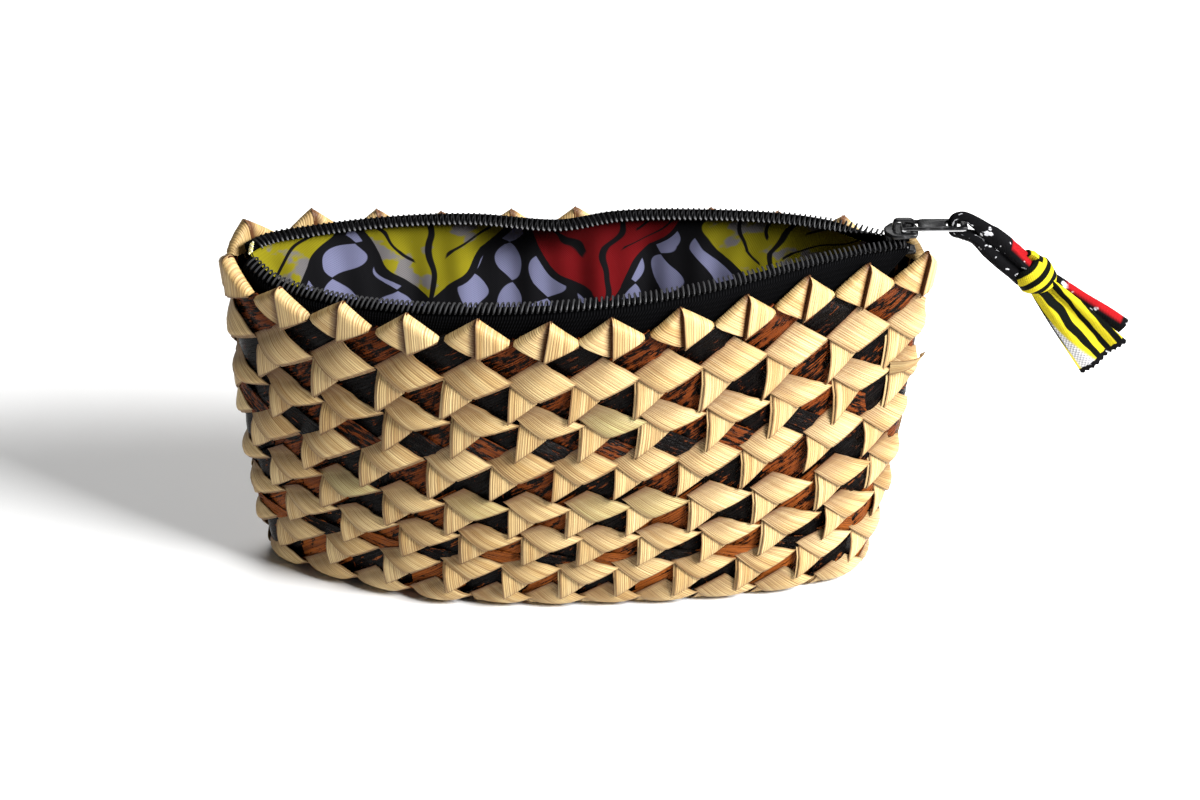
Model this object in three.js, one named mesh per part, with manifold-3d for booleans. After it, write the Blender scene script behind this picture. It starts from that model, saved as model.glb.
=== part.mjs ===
// Woven coin purse, standing open. Millimetres, +Z up, -Y is the front, +X is the slider end.
// The origin is the middle of the flat underside.
import * as THREE from "three";
import { mergeVertices } from "three/addons/utils/BufferGeometryUtils.js";
import Module from "manifold-3d";

// Plaited pouch
const PEAKS = 23; // folded points around the rim
const COLUMNS = PEAKS * 4;
const WALL = 2.0; // plaited wall and floor
const RIM_Z = 79.0; // tips of the points
const RIGHT_LIFT = 1.8; // extra height of the rim at the slider end
const LEFT_LIFT = 4.5; // and at the left end and the back of it
const PEAK_H = 5.5; // from a notch up to a tip
const NOTCH_FREE_Z = 70.0; // top of the plain part of the wall
const PEAK_START = 0.75; // where the first point stands from the slider end, in points

// Outline of the pouch at the base and at the rim: half lengths from the deepest place,
// depths to the front and back, end roundness, how far the left end stands back, and the
// powers that sharpen each quarter.
const BASE = {
  mid: 0, left: 70, right: 70, front: 22.5, back: 20, round: 7, sway: 4,
  frontLeft: 0.75, frontRight: 0.45, backLeft: 0.55, backRight: 0.6,
};
const RIM = {
  mid: -2, left: 74, right: 84, front: 31, back: 25, round: 7, sway: 0,
  frontLeft: 0.85, frontRight: 1.9, backLeft: 0.65, backRight: 0.55,
};
// Rounded lower edge and rise of the wall: height, and inset from the slanting wall line.
const WALL_ROWS = [
  { z: 0.0, inset: 4.0 },
  { z: 1.4, inset: 1.2 },
  { z: 4.5, inset: 0.1 },
  { z: 22.0, inset: -0.8 },
  { z: 38.0, inset: -1.0 },
  { z: 54.0, inset: -0.6 },
  { z: NOTCH_FREE_Z, inset: 0.0 },
];
const FLOOR_ROWS = [
  { z: WALL, inset: 4.0 },
  { z: WALL + 1.2, inset: 1.4 },
  { z: WALL + 4.0, inset: 0.2 },
  { z: 22.0, inset: -0.8 },
  { z: 38.0, inset: -1.0 },
  { z: 54.0, inset: -0.6 },
  { z: NOTCH_FREE_Z, inset: 0.0 },
];

// Zip: line of each coil from the left end of the mouth to the slider
const COIL_FRONT = [
  { x: -69.4, y: -1.2, z: 80.2 },
  { x: -66.5, y: -4.3, z: 78.6 },
  { x: -62.0, y: -7.5, z: 77.0 },
  { x: -48.0, y: -13.8, z: 76.2 },
  { x: -27.0, y: -21.0, z: 77.8 },
  { x: 2.0, y: -25.0, z: 80.5 },
  { x: 27.0, y: -20.4, z: 81.6 },
  { x: 51.0, y: -9.8, z: 82.4 },
  { x: 64.0, y: -4.2, z: 82.3 },
  { x: 70.7, y: -2.2, z: 82.3 },
  { x: 72.4, y: -1.6, z: 82.3 },
  { x: 74.4, y: -0.9, z: 82.3 },
  { x: 76.4, y: -0.8, z: 82.3 },
];
const COIL_BACK = [
  { x: -69.4, y: 1.2, z: 80.2 },
  { x: -66.0, y: 5.0, z: 80.2 },
  { x: -57.0, y: 9.0, z: 80.0 },
  { x: -38.0, y: 14.0, z: 79.8 },
  { x: -21.0, y: 14.9, z: 79.8 },
  { x: -1.0, y: 11.6, z: 79.8 },
  { x: 12.0, y: 15.6, z: 80.0 },
  { x: 29.0, y: 15.2, z: 80.6 },
  { x: 51.0, y: 10.6, z: 81.6 },
  { x: 64.0, y: 5.0, z: 82.1 },
  { x: 70.7, y: 2.2, z: 82.3 },
  { x: 72.4, y: 1.6, z: 82.3 },
  { x: 74.4, y: 0.9, z: 82.3 },
  { x: 76.4, y: 0.8, z: 82.3 },
];
const TAPE = 0.7; // tape thickness
const TAPE_LOW_Z = 63.0; // lower edge, sewn inside the rim
const TAPE_BEND_Z = 72.0; // leaves the wall here
const TAPE_FLANGE = 2.8; // flat part of the tape next to the coil
const TAPE_FLANGE_SLIDER = 1.9;
const FLANGE_DROP_FRONT = 1.6; // the front tape rises to its coil
const FLANGE_DROP_BACK = -0.8; // the back tape hangs down to its coil
const FLANGE_DROP_SLIDER = 0.5;
const TAPE_START = 0.04; // shares of the wall line where the tapes start and end
const TAPE_END = 0.925;
const TAPE_STEPS = COLUMNS / 2 - 1;
const COIL_W = 2.2;
const COIL_H = 1.4;
const COIL_START = 0.01; // shares of the mouth line; the coils meet inside the slider
const COIL_END = 0.995;
const GAP = 0.3; // between pieces that lie against each other
const TAPE_CLEAR = 0.55; // from the wall to the tape

// Lining
const LINING = 1.0;
const LINING_RISE = 0.8; // how far up the standing part of the tape the lining is sewn
const LINING_FLOOR_Z = WALL + GAP;

// Slider and tab
const SLIDER_X0 = 70.5;
const SLIDER_X1 = 78.1;
const SLIDER_MOUTH = 3.7; // half width at the diverging end
const SLIDER_TAIL = 2.9; // half width at the closing end
const TOP_Z = 84.7;
const TOP_T = 0.9;
const LOW_Z = 80.2;
const LOW_T = 0.8;
const LOW_HALF = 1.7;
const BAIL_X0 = 72.3;
const BAIL_X1 = 77.3;
const BAIL_HALF = 0.85;
const BAIL_BAR = 0.8;
const PIN_X = 74.8;
const PIN_Z = 86.45;
const PIN_R = 0.55;
const TAB_HALF = 2.3;
const TAB_INNER = 1.25;
const TAB_JOIN_X = 78.2;
const TAB_END_X = 89.0;
const EYE_X0 = 84.2;
const EYE_X1 = 87.4;
const EYE_HALF = 1.5;

// Knotted cloth strip, drawn in the XZ plane: middle line of the strand from the knot through
// the eye and back, with its thickness and width, and the outlines of the two tails.
const STRAND = [
  { x: 103.0, z: 76.2, thick: 3.2, wide: 5.0 },
  { x: 98.5, z: 80.6, thick: 3.2, wide: 5.2 },
  { x: 94.0, z: 84.6, thick: 2.9, wide: 4.6 },
  { x: 90.4, z: 87.9, thick: 2.3, wide: 3.2 },
  { x: 88.0, z: 88.8, thick: 2.1, wide: 2.4 },
  { x: 86.1, z: 88.2, thick: 2.0, wide: 2.3 },
  { x: 85.7, z: 86.4, thick: 2.0, wide: 2.3 },
  { x: 86.1, z: 84.7, thick: 2.0, wide: 2.3 },
  { x: 88.0, z: 84.2, thick: 2.1, wide: 2.4 },
  { x: 90.6, z: 83.2, thick: 2.3, wide: 3.2 },
  { x: 93.6, z: 80.9, thick: 2.9, wide: 4.6 },
  { x: 97.6, z: 77.2, thick: 3.2, wide: 5.2 },
  { x: 102.0, z: 73.2, thick: 3.2, wide: 5.0 },
];
const STRAND_STEPS = 40;
const KNOT = { x: 104.2, y: 0, z: 74.2, rx: 5.2, ry: 4.4, rz: 5.4 };
const TAIL = 1.5; // thickness of the folded tails
const TAIL_WIDE = [
  { x: 103.0, z: 73.5 },
  { x: 107.5, z: 72.0 },
  { x: 125.6, z: 57.4 },
  { x: 123.0, z: 55.9 },
  { x: 121.9, z: 52.9 },
  { x: 119.4, z: 51.6 },
  { x: 117.2, z: 48.9 },
];
const TAIL_NARROW = [
  { x: 105.0, z: 72.5 },
  { x: 106.5, z: 76.3 },
  { x: 117.0, z: 70.4 },
  { x: 127.0, z: 63.4 },
  { x: 125.6, z: 60.3 },
  { x: 115.0, z: 66.6 },
];

const wasm = await Module();
wasm.setup();

const mix = (a, b, t) => a + (b - a) * t;
const smooth = (t) => t * t * (3 - 2 * t);

// Plan outline at wall fraction f (0 base, 1 rim tips), pulled in by inset, as a dense loop.
// It starts at the slider end and runs over the back, the left end and the front.
const DENSE = 720;
function outline(f, inset) {
  const p = {};
  for (const key of Object.keys(BASE)) {
    p[key] = mix(BASE[key], RIM[key], f);
  }
  const round = p.round - inset;
  const loop = [];
  for (let i = 0; i < DENSE; i += 1) {
    const a = (2 * Math.PI * i) / DENSE;
    const u = Math.cos(a);
    const w = Math.max(1 - u * u, 1e-9);
    const x = p.mid + u * ((u > 0 ? p.right : p.left) - inset);
    const side = i < DENSE / 2 ? "back" : "front";
    const power = mix(p[side + "Left"], p[side + "Right"], smooth((u + 1) / 2));
    const y = (p[side] - p.round) * w ** power + round * w ** 0.25;
    const sway = p.sway * smooth(Math.min(1, Math.max(0, (-u - 0.35) / 0.65)));
    loop.push(new THREE.Vector2(x, (side === "back" ? y : -y) + sway));
  }
  return loop;
}

// Points at equal steps along a polyline. A closed loop leaves out the repeated last point
// and begins at the tip of the first folded point.
function evenly(points, count, closed) {
  const path = closed ? [...points, points[0]] : points;
  const run = [0];
  for (let i = 1; i < path.length; i += 1) {
    run.push(run[i - 1] + path[i].distanceTo(path[i - 1]));
  }
  const total = run[run.length - 1];
  const out = [];
  for (let i = 0; i < count; i += 1) {
    let k = 0;
    const turn = (i + PEAK_START * 4) / count;
    const goal = total * (closed ? turn % 1 : i / (count - 1));
    while (k < path.length - 2 && run[k + 1] < goal) {
      k += 1;
    }
    const share = Math.min((goal - run[k]) / (run[k + 1] - run[k]), 1);
    out.push(path[k].clone().lerp(path[k + 1], share));
  }
  return out;
}

const fraction = (z) => Math.max(0, z - 5) / (RIM_Z - 5);
const ring = (z, inset) => evenly(outline(fraction(z), inset), COLUMNS, true);

// Closed skin from rings of equal length: the first and last ring are closed by fans to the
// two middles.
function skin(rings, middles) {
  const n = rings[0].length;
  const points = rings.flat();
  const faces = [];
  for (let r = 0; r < rings.length - 1; r += 1) {
    for (let i = 0; i < n; i += 1) {
      const a = r * n + i;
      const b = r * n + ((i + 1) % n);
      const c = (r + 1) * n + ((i + 1) % n);
      const d = (r + 1) * n + i;
      faces.push(a, b, c, a, c, d);
    }
  }
  const first = points.length;
  points.push(middles[0], middles[1]);
  const last = (rings.length - 1) * n;
  for (let i = 0; i < n; i += 1) {
    const j = (i + 1) % n;
    faces.push(first, j, i);
    faces.push(first + 1, last + i, last + j);
  }
  const geometry = new THREE.BufferGeometry();
  const flat = points.flatMap((p) => [p.x, p.y, p.z]);
  geometry.setAttribute("position", new THREE.Float32BufferAttribute(flat, 3));
  geometry.setIndex(faces);
  geometry.computeVertexNormals();
  return geometry;
}

const lift = (p, z) => new THREE.Vector3(p.x, p.y, z);

// Solid for the booleans, and back again.
function solid(geometry) {
  const bare = geometry.clone();
  bare.deleteAttribute("normal");
  bare.deleteAttribute("uv");
  const merged = mergeVertices(bare, 1e-4);
  const mesh = new wasm.Mesh({
    numProp: 3,
    vertProperties: new Float32Array(merged.attributes.position.array),
    triVerts: new Uint32Array(merged.index.array),
  });
  return new wasm.Manifold(mesh);
}
function shell(manifold) {
  const mesh = manifold.getMesh();
  const geometry = new THREE.BufferGeometry();
  const stride = mesh.numProp;
  const flat = [];
  for (let i = 0; i < mesh.vertProperties.length; i += stride) {
    flat.push(...mesh.vertProperties.slice(i, i + 3));
  }
  geometry.setAttribute("position", new THREE.Float32BufferAttribute(flat, 3));
  geometry.setIndex([...mesh.triVerts]);
  geometry.computeVertexNormals();
  return geometry;
}
const block = (x0, x1, y0, y1, z0, z1) => {
  const geometry = new THREE.BoxGeometry(x1 - x0, y1 - y0, z1 - z0);
  geometry.translate((x0 + x1) / 2, (y0 + y1) / 2, (z0 + z1) / 2);
  return solid(geometry);
};

const group = new THREE.Group();
group.name = "woven_coin_purse";
function piece(name, geometry, color, roughness) {
  const mesh = new THREE.Mesh(geometry, new THREE.MeshStandardMaterial({ color, roughness }));
  mesh.name = name;
  group.add(mesh);
}

// Plaited body: outside up, over the pointed rim and down the inside to the floor.
const ramp = (v, from, to) => smooth(Math.min(Math.max((v - from) / (to - from), 0), 1));
const endRise = (p) => RIGHT_LIFT * ramp(p.x, -20, 80)
  + LEFT_LIFT * ramp(-p.x, 15, 68) * ramp(p.y, -16, 6);
const rimHeight = (i, p) => {
  const tip = Math.abs(2 * ((i / 4) % 1) - 1);
  return RIM_Z + endRise(p) - PEAK_H * (1 - tip);
};
function rimRing(inset) {
  const low = ring(NOTCH_FREE_Z, inset);
  const high = ring(RIM_Z, inset);
  return low.map((p, i) => {
    const z = rimHeight(i, p);
    const t = (z - NOTCH_FREE_Z) / (RIM_Z - NOTCH_FREE_Z);
    return lift(p.clone().lerp(high[i], t), z);
  });
}
const wallRing = (row, inset) => ring(row.z, row.inset + inset).map((p) => lift(p, row.z));
const floorRing = (row) => ring(row.z, row.inset + WALL).map((p) => lift(p, row.z));
const bodyRings = [
  ...WALL_ROWS.map((row) => wallRing(row, 0)),
  rimRing(0),
  rimRing(WALL),
  ...FLOOR_ROWS.map(floorRing).reverse(),
];
const bodyMiddles = [new THREE.Vector3(0, 0, 0), new THREE.Vector3(0, 0, WALL)];
piece("woven_body", skin(bodyRings, bodyMiddles), 0xd9c08a, 0.6);

// Mouth lines run from the left end to the slider end, along the front or the back, as
// points at equal steps, and each is worked out once.
const LINE_STEPS = 400;
const known = new Map();
function mouthLine(z, inset, side) {
  const key = [z, inset, side].join();
  if (!known.has(key)) {
    const loop = outline(fraction(z), inset);
    const back = loop.slice(0, DENSE / 2 + 1).reverse();
    const front = [...loop.slice(DENSE / 2), loop[0]];
    known.set(key, evenly(side === "back" ? back : front, LINE_STEPS + 1, false));
  }
  return known.get(key);
}
function along(line, share) {
  const at = share * LINE_STEPS;
  const k = Math.min(Math.floor(at), LINE_STEPS - 1);
  return line[k].clone().lerp(line[k + 1], at - k);
}
const coilLine = (rows) => {
  const curve = new THREE.CatmullRomCurve3(rows.map((r) => new THREE.Vector3(r.x, r.y, r.z)));
  return evenly(curve.getPoints(LINE_STEPS), LINE_STEPS + 1, false);
};
const LINES = { front: coilLine(COIL_FRONT), back: coilLine(COIL_BACK) };
const outward = (side) => (side === "front" ? -1 : 1);

// Middle line of the tape across its width, at a share of its length: the sewn edge, the
// bend at the rim, the fold beside the coil and the free edge. push moves it inwards.
const wallInset = (push) => WALL + TAPE_CLEAR + TAPE / 2 + push;
function wallPoint(side, share, z, inset) {
  return lift(along(mouthLine(z, inset, side), mix(TAPE_START, TAPE_END, share)), z);
}
function tapeSection(side, share, push) {
  const low = wallPoint(side, share, TAPE_LOW_Z, wallInset(push));
  const bend = wallPoint(side, share, TAPE_BEND_Z, wallInset(push));
  const edge = along(LINES[side], share);
  const ahead = along(LINES[side], Math.min(share + 0.01, 1));
  const back = along(LINES[side], Math.max(share - 0.01, 0));
  const run = ahead.sub(back).setZ(0).normalize();
  const out = new THREE.Vector3(-run.y, run.x, 0).multiplyScalar(outward(side));
  const drop = side === "front" ? FLANGE_DROP_FRONT : FLANGE_DROP_BACK;
  const near = ramp(edge.x, 45, 68);
  const flange = mix(TAPE_FLANGE, TAPE_FLANGE_SLIDER, near);
  const fold = edge.clone().addScaledVector(out, flange - 1.4 * push);
  fold.z -= mix(drop, FLANGE_DROP_SLIDER, near);
  return { low, bend, fold, edge, out };
}

// Tape: the section line thickened across and carried along the mouth.
function tape(side) {
  const rings = [];
  for (let i = 0; i <= TAPE_STEPS; i += 1) {
    const { low, bend, fold, edge, out } = tapeSection(side, i / TAPE_STEPS, 0);
    const across = out.clone().multiplyScalar(TAPE / 2);
    const up = new THREE.Vector3(0, 0, TAPE / 2);
    const corner = across.clone().multiplyScalar(0.7).addScaledVector(up, 0.7);
    const loop = [
      low.clone().add(across),
      bend.clone().add(across),
      fold.clone().add(corner),
      edge.clone().add(up),
      edge.clone().sub(up),
      fold.clone().sub(corner),
      bend.clone().sub(across),
      low.clone().sub(across),
    ];
    rings.push(side === "front" ? loop.reverse() : loop);
  }
  const middle = (loop) => loop[2].clone().add(loop[5]).multiplyScalar(0.5);
  return skin(rings, [middle(rings[0]), middle(rings[TAPE_STEPS])]);
}

// Coil: a flattened bar on the free edge of the tape.
function coil(side) {
  const rings = [];
  const steps = 44;
  for (let i = 0; i <= steps; i += 1) {
    const share = mix(COIL_START, COIL_END, i / steps);
    const { edge, fold, out } = tapeSection(side, share, 0);
    const slope = fold.clone().sub(edge).normalize();
    const along3 = new THREE.Vector3(-out.y, out.x, 0);
    const normal = slope.clone().cross(along3).normalize();
    if (normal.z < 0) {
      normal.negate();
    }
    const seat = TAPE / 2 + GAP + COIL_H / 2;
    const centre = edge.clone().addScaledVector(slope, COIL_W * 0.25).addScaledVector(normal, seat);
    const loop = [];
    for (let k = 0; k < 8; k += 1) {
      const a = (2 * Math.PI * k) / 8;
      const point = centre.clone().addScaledVector(slope, (Math.cos(a) * COIL_W) / 2);
      loop.push(point.addScaledVector(normal, (Math.sin(a) * COIL_H) / 2));
    }
    rings.push(side === "front" ? loop.reverse() : loop);
  }
  const middle = (loop) => loop[0].clone().add(loop[4]).multiplyScalar(0.5);
  return skin(rings, [middle(rings[0]), middle(rings[steps])]);
}
piece("zip_tape_front", tape("front"), 0x101012, 0.8);
piece("zip_tape_back", tape("back"), 0x101012, 0.8);
piece("zip_coil_front", coil("front"), 0x18181a, 0.4);
piece("zip_coil_back", coil("back"), 0x18181a, 0.4);

// Lining: a cloth bag that stands inside the wall and leans in with the tapes at the top.
function aroundMouth(pointAt) {
  const loop = [];
  for (let i = 0; i <= TAPE_STEPS; i += 1) {
    loop.push(pointAt("back", 1 - i / TAPE_STEPS));
  }
  for (let i = 0; i <= TAPE_STEPS; i += 1) {
    loop.push(pointAt("front", i / TAPE_STEPS));
  }
  return loop;
}
const liningRing = (z, inset) => aroundMouth((side, share) => wallPoint(side, share, z, inset));
const liningTop = (push) => aroundMouth((side, share) => {
  const { bend, fold } = tapeSection(side, share, push);
  return bend.lerp(fold, LINING_RISE);
});
const LINING_OUT = TAPE / 2 + GAP + 0.1; // outside of the lining from the middle of the tape
const LINING_IN = LINING_OUT + LINING;
const liningRows = (push, floorZ) => [
  liningRing(floorZ, wallInset(push) + 4.0),
  liningRing(floorZ + 1.2, wallInset(push) + 1.4),
  liningRing(floorZ + 4.0, wallInset(push) + 0.2),
  liningRing(22, wallInset(push) - 0.8),
  liningRing(38, wallInset(push) - 1.0),
  liningRing(54, wallInset(push) - 0.6),
  liningRing(TAPE_LOW_Z, wallInset(push) - 0.2),
  liningRing(TAPE_BEND_Z, wallInset(push)),
  liningTop(push),
];
const liningRings = [
  ...liningRows(LINING_OUT, LINING_FLOOR_Z),
  ...liningRows(LINING_IN, LINING_FLOOR_Z + LINING).reverse(),
];
const liningMiddles = [
  new THREE.Vector3(0, 0, LINING_FLOOR_Z),
  new THREE.Vector3(0, 0, LINING_FLOOR_Z + LINING),
];
piece("lining", skin(liningRings, liningMiddles), 0xb8a020, 0.9);

// Slider: upper and lower wings joined by the wedge between the coils, with a bail on top.
const wing = new THREE.Shape();
wing.moveTo(SLIDER_X0 + 1.2, -SLIDER_MOUTH + 0.6);
wing.lineTo(SLIDER_X0 + 2.4, -SLIDER_MOUTH);
wing.lineTo(SLIDER_X1 - 0.8, -SLIDER_TAIL);
wing.lineTo(SLIDER_X1, -SLIDER_TAIL + 0.8);
wing.lineTo(SLIDER_X1, SLIDER_TAIL - 0.8);
wing.lineTo(SLIDER_X1 - 0.8, SLIDER_TAIL);
wing.lineTo(SLIDER_X0 + 2.4, SLIDER_MOUTH);
wing.lineTo(SLIDER_X0 + 1.2, SLIDER_MOUTH - 0.6);
wing.lineTo(SLIDER_X0, 0.9);
wing.lineTo(SLIDER_X0, -0.9);
const upper = new THREE.ExtrudeGeometry(wing, { depth: TOP_T, bevelEnabled: false });
upper.translate(0, 0, TOP_Z);
const topOfWing = TOP_Z + TOP_T;
const bailTop = PIN_Z + PIN_R + 0.45 + BAIL_BAR;
const slider = solid(upper)
  .add(block(SLIDER_X0 + 0.2, SLIDER_X1 - 0.4, -LOW_HALF, LOW_HALF, LOW_Z, LOW_Z + LOW_T))
  .add(block(SLIDER_X0 + 0.2, SLIDER_X0 + 1.7, -0.7, 0.7, LOW_Z + 0.1, TOP_Z + 0.1))
  .add(block(BAIL_X0, BAIL_X0 + BAIL_BAR, -BAIL_HALF, BAIL_HALF, topOfWing - 0.1, bailTop))
  .add(block(BAIL_X1 - BAIL_BAR, BAIL_X1, -BAIL_HALF, BAIL_HALF, topOfWing - 0.1, bailTop))
  .add(block(BAIL_X0, BAIL_X1, -BAIL_HALF, BAIL_HALF, bailTop - BAIL_BAR, bailTop));
piece("zip_slider", shell(slider), 0x0c0c0d, 0.35);

// Tab: a pin under the bail between two arms, a flat blade and an eye for the cloth.
const blade = new THREE.Shape();
blade.moveTo(PIN_X, -TAB_HALF);
blade.lineTo(TAB_END_X - 1.2, -TAB_HALF);
blade.lineTo(TAB_END_X, -TAB_HALF + 1.2);
blade.lineTo(TAB_END_X, TAB_HALF - 1.2);
blade.lineTo(TAB_END_X - 1.2, TAB_HALF);
blade.lineTo(PIN_X, TAB_HALF);
const bladeGeometry = new THREE.ExtrudeGeometry(blade, { depth: 2 * PIN_R, bevelEnabled: false });
bladeGeometry.translate(0, 0, PIN_Z - PIN_R);
const pinGeometry = new THREE.CylinderGeometry(PIN_R, PIN_R, 2 * TAB_HALF, 24);
pinGeometry.translate(PIN_X, 0, PIN_Z);
const tab = solid(bladeGeometry)
  .subtract(block(PIN_X - 2, TAB_JOIN_X, -TAB_INNER, TAB_INNER, PIN_Z - 2, PIN_Z + 2))
  .subtract(block(EYE_X0, EYE_X1, -EYE_HALF, EYE_HALF, PIN_Z - 2, PIN_Z + 2))
  .add(solid(pinGeometry));
piece("pull_tab", shell(tab), 0x0c0c0d, 0.35);

// Cloth: the strand goes over the end of the tab, down through its eye and back, then the
// knot holds both ends and two flat tails leave it.
const strandLine = new THREE.CatmullRomCurve3(STRAND.map((r) => new THREE.Vector3(r.x, 0, r.z)));
const strandRings = [];
for (let i = 0; i <= STRAND_STEPS; i += 1) {
  const at = (i / STRAND_STEPS) * (STRAND.length - 1);
  const k = Math.min(Math.floor(at), STRAND.length - 2);
  const thick = mix(STRAND[k].thick, STRAND[k + 1].thick, at - k) / 2;
  const wide = mix(STRAND[k].wide, STRAND[k + 1].wide, at - k) / 2;
  const centre = strandLine.getPoint(i / STRAND_STEPS);
  const run = strandLine.getTangent(i / STRAND_STEPS);
  const across = new THREE.Vector3(run.z, 0, -run.x);
  const loop = [];
  for (let j = 0; j < 10; j += 1) {
    const a = (2 * Math.PI * j) / 10;
    const point = centre.clone().addScaledVector(across, thick * Math.cos(a));
    point.y += wide * Math.sin(a);
    loop.push(point);
  }
  strandRings.push(loop);
}
const strandEnds = [strandLine.getPoint(0), strandLine.getPoint(1)];
const strand = skin(strandRings, strandEnds);
const knot = new THREE.SphereGeometry(1, 20, 12);
knot.scale(KNOT.rx, KNOT.ry, KNOT.rz);
knot.translate(KNOT.x, KNOT.y, KNOT.z);
function tail(rows, y0) {
  const shape = new THREE.Shape(rows.map((p) => new THREE.Vector2(p.x, p.z)));
  const geometry = new THREE.ExtrudeGeometry(shape, { depth: TAIL, bevelEnabled: false });
  geometry.rotateX(Math.PI / 2);
  geometry.translate(0, y0 + TAIL, 0);
  return solid(geometry);
}
const cloth = solid(knot).add(solid(strand)).add(tail(TAIL_WIDE, -2.2)).add(tail(TAIL_NARROW, 0.6));
piece("cloth_pull", shell(cloth), 0xd9c21f, 0.9);

export default group;
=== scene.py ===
import bpy
import numpy as np
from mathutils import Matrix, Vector


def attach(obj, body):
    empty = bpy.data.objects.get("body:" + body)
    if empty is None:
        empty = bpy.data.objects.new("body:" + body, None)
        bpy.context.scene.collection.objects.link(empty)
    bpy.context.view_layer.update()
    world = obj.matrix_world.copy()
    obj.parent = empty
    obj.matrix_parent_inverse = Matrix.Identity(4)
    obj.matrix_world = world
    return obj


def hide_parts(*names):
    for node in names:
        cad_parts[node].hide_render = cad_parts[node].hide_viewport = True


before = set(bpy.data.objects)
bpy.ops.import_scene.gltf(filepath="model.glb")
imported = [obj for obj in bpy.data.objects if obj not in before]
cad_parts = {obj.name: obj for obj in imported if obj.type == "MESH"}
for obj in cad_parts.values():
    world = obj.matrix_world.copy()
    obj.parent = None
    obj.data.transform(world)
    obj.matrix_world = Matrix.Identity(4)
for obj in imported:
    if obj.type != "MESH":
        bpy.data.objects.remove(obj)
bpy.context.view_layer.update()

# The pouch is plaited from split palm leaf on a flat oval base, and opens deeper at the mouth.
# Its wall is one smooth surface in mm, and every strip further down is laid on that surface.
POINTS = 23  # folded points round the rim
FINE = 16  # columns of the wall's grid for each of them
HALF_TURN = 360  # steps of a plan loop from one end of the pouch to the other
FOOT = {"mid": 0, "left": 70, "right": 70, "front": 22.5, "back": 20, "round": 7, "sway": 4,
        "front_left": 0.75, "front_right": 0.45, "back_left": 0.55, "back_right": 0.6}
RIM = {"mid": -2, "left": 74, "right": 84, "front": 31, "back": 25, "round": 7, "sway": 0,
       "front_left": 0.85, "front_right": 1.9, "back_left": 0.65, "back_right": 0.55}
FOOT_Z, RIM_Z = 5.0, 79.0  # the heights that these two outlines hold for
NOTCH_M = 73.5  # the notches between the points, in mm up the wall
EDGE_M, FLAT_M = 4.5, -1.9  # where the wall turns under, and where it reaches the flat base
BASE_M, EASE = -20.0, 3.0  # the base's middle line, and the stretch in which strips ease up to it
BASE_SHORT, BASE_Y = 0.72, 1.0  # that line's share of the base's length, and where it lies
TOP_M, MOUTH_M = 87.0, 70.0  # the wall's upper end, and the level that its rise is read at
TURN_IN = 3.9  # how far the lower edge turns in
RIGHT_RISE, LEFT_RISE = 1.8, 4.5  # how far the rim climbs towards its ends
BASE_PRESS, BASE_LIFT = 0.45, 0.95  # strips below are pressed flatter, and lifted off the floor


def ramp(value, low=0.0, high=1.0):
    """Smooth step: 0 below low, 1 above high, 3t^2 - 2t^3 between."""
    t = np.clip((value - low) / (high - low), 0, 1)
    return t * t * (3 - 2 * t)


def normed(vectors):
    """Vectors divided by their lengths; a zero vector stays zero."""
    return vectors / (np.linalg.norm(vectors, axis=-1, keepdims=True) + 1e-12)


def measure(steps):
    """The length run before and after each of a line's steps (n, d): their running sum from 0."""
    return np.concatenate([[0], np.cumsum(np.linalg.norm(steps, axis=1))])


def evenly(line, share):
    """Points of a polyline (n, d) at shares of its length, straight between its corners."""
    run = measure(np.diff(line, axis=0))
    return np.stack([np.interp(share, run / run[-1], axis) for axis in line.T], -1)


def outline(z, inset):
    """Plan loops in mm at heights z, pulled in by inset, from the slider end over the back.

    x runs as the cosine of the angle and y as powers of its sine squared, so that each
    quarter has its own fullness, and the left end stands back by the sway. All sizes slide
    from the foot's to the rim's with height.
    """
    share = (np.maximum(z - FOOT_Z, 0) / (RIM_Z - FOOT_Z))[:, None]
    size = {key: FOOT[key] + (RIM[key] - FOOT[key]) * share for key in FOOT}
    angle = np.linspace(0, 2 * np.pi, 2 * HALF_TURN + 1)[None]
    u = np.cos(angle)
    w = np.maximum(1 - u * u, 1e-9)
    back = angle < np.pi
    x = size["mid"] + u * (np.where(u > 0, size["right"], size["left"]) - inset[:, None])
    left = np.where(back, size["back_left"], size["front_left"])
    right = np.where(back, size["back_right"], size["front_right"])
    full = np.where(back, size["back"], size["front"]) - size["round"]
    y = full * w ** (left + (right - left) * ramp((u + 1) / 2))
    y += (size["round"] - inset[:, None]) * w ** 0.25
    return np.stack([x, np.where(back, y, -y) + size["sway"] * ramp(-u, 0.35, 1)], -1)


level = np.arange(BASE_M, TOP_M)
turn = np.clip((level - FLAT_M) / (EDGE_M - FLAT_M), 0, 1) * np.pi / 2
level_z = np.where(level > EDGE_M, level, EDGE_M * (1 - np.cos(turn)))
belly = np.interp(level, [EDGE_M, 22, 38, 54, 70], [0.1, -0.8, -1.0, -0.6, 0.0])
level_in = np.where(level > EDGE_M, belly, 0.1 + TURN_IN * (1 - np.sin(turn)))
around = np.linspace(0, 1, POINTS * FINE + 1)
plan = np.stack([evenly(loop, around) for loop in outline(level_z, level_in)])
inward = (np.maximum(FLAT_M - level, 0) / (FLAT_M - BASE_M))[:, None, None]
plan = plan + inward * (plan * [BASE_SHORT, 0] + [0, BASE_Y] - plan)
WALL = np.concatenate([plan, np.broadcast_to(level_z[:, None, None], plan.shape[:2] + (1,))], -1)
side_step = np.roll(WALL[:, :-1], -1, 1) - np.roll(WALL[:, :-1], 1, 1)
side_step = np.concatenate([side_step, side_step[:, :1]], 1)
OUT = np.cross(side_step, np.gradient(WALL, axis=0))
OUT[level < FLAT_M] = [0, 0, -1]
OUT = normed(OUT)
rim_x, rim_y = WALL[np.searchsorted(level, MOUTH_M), :, :2].T
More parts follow.
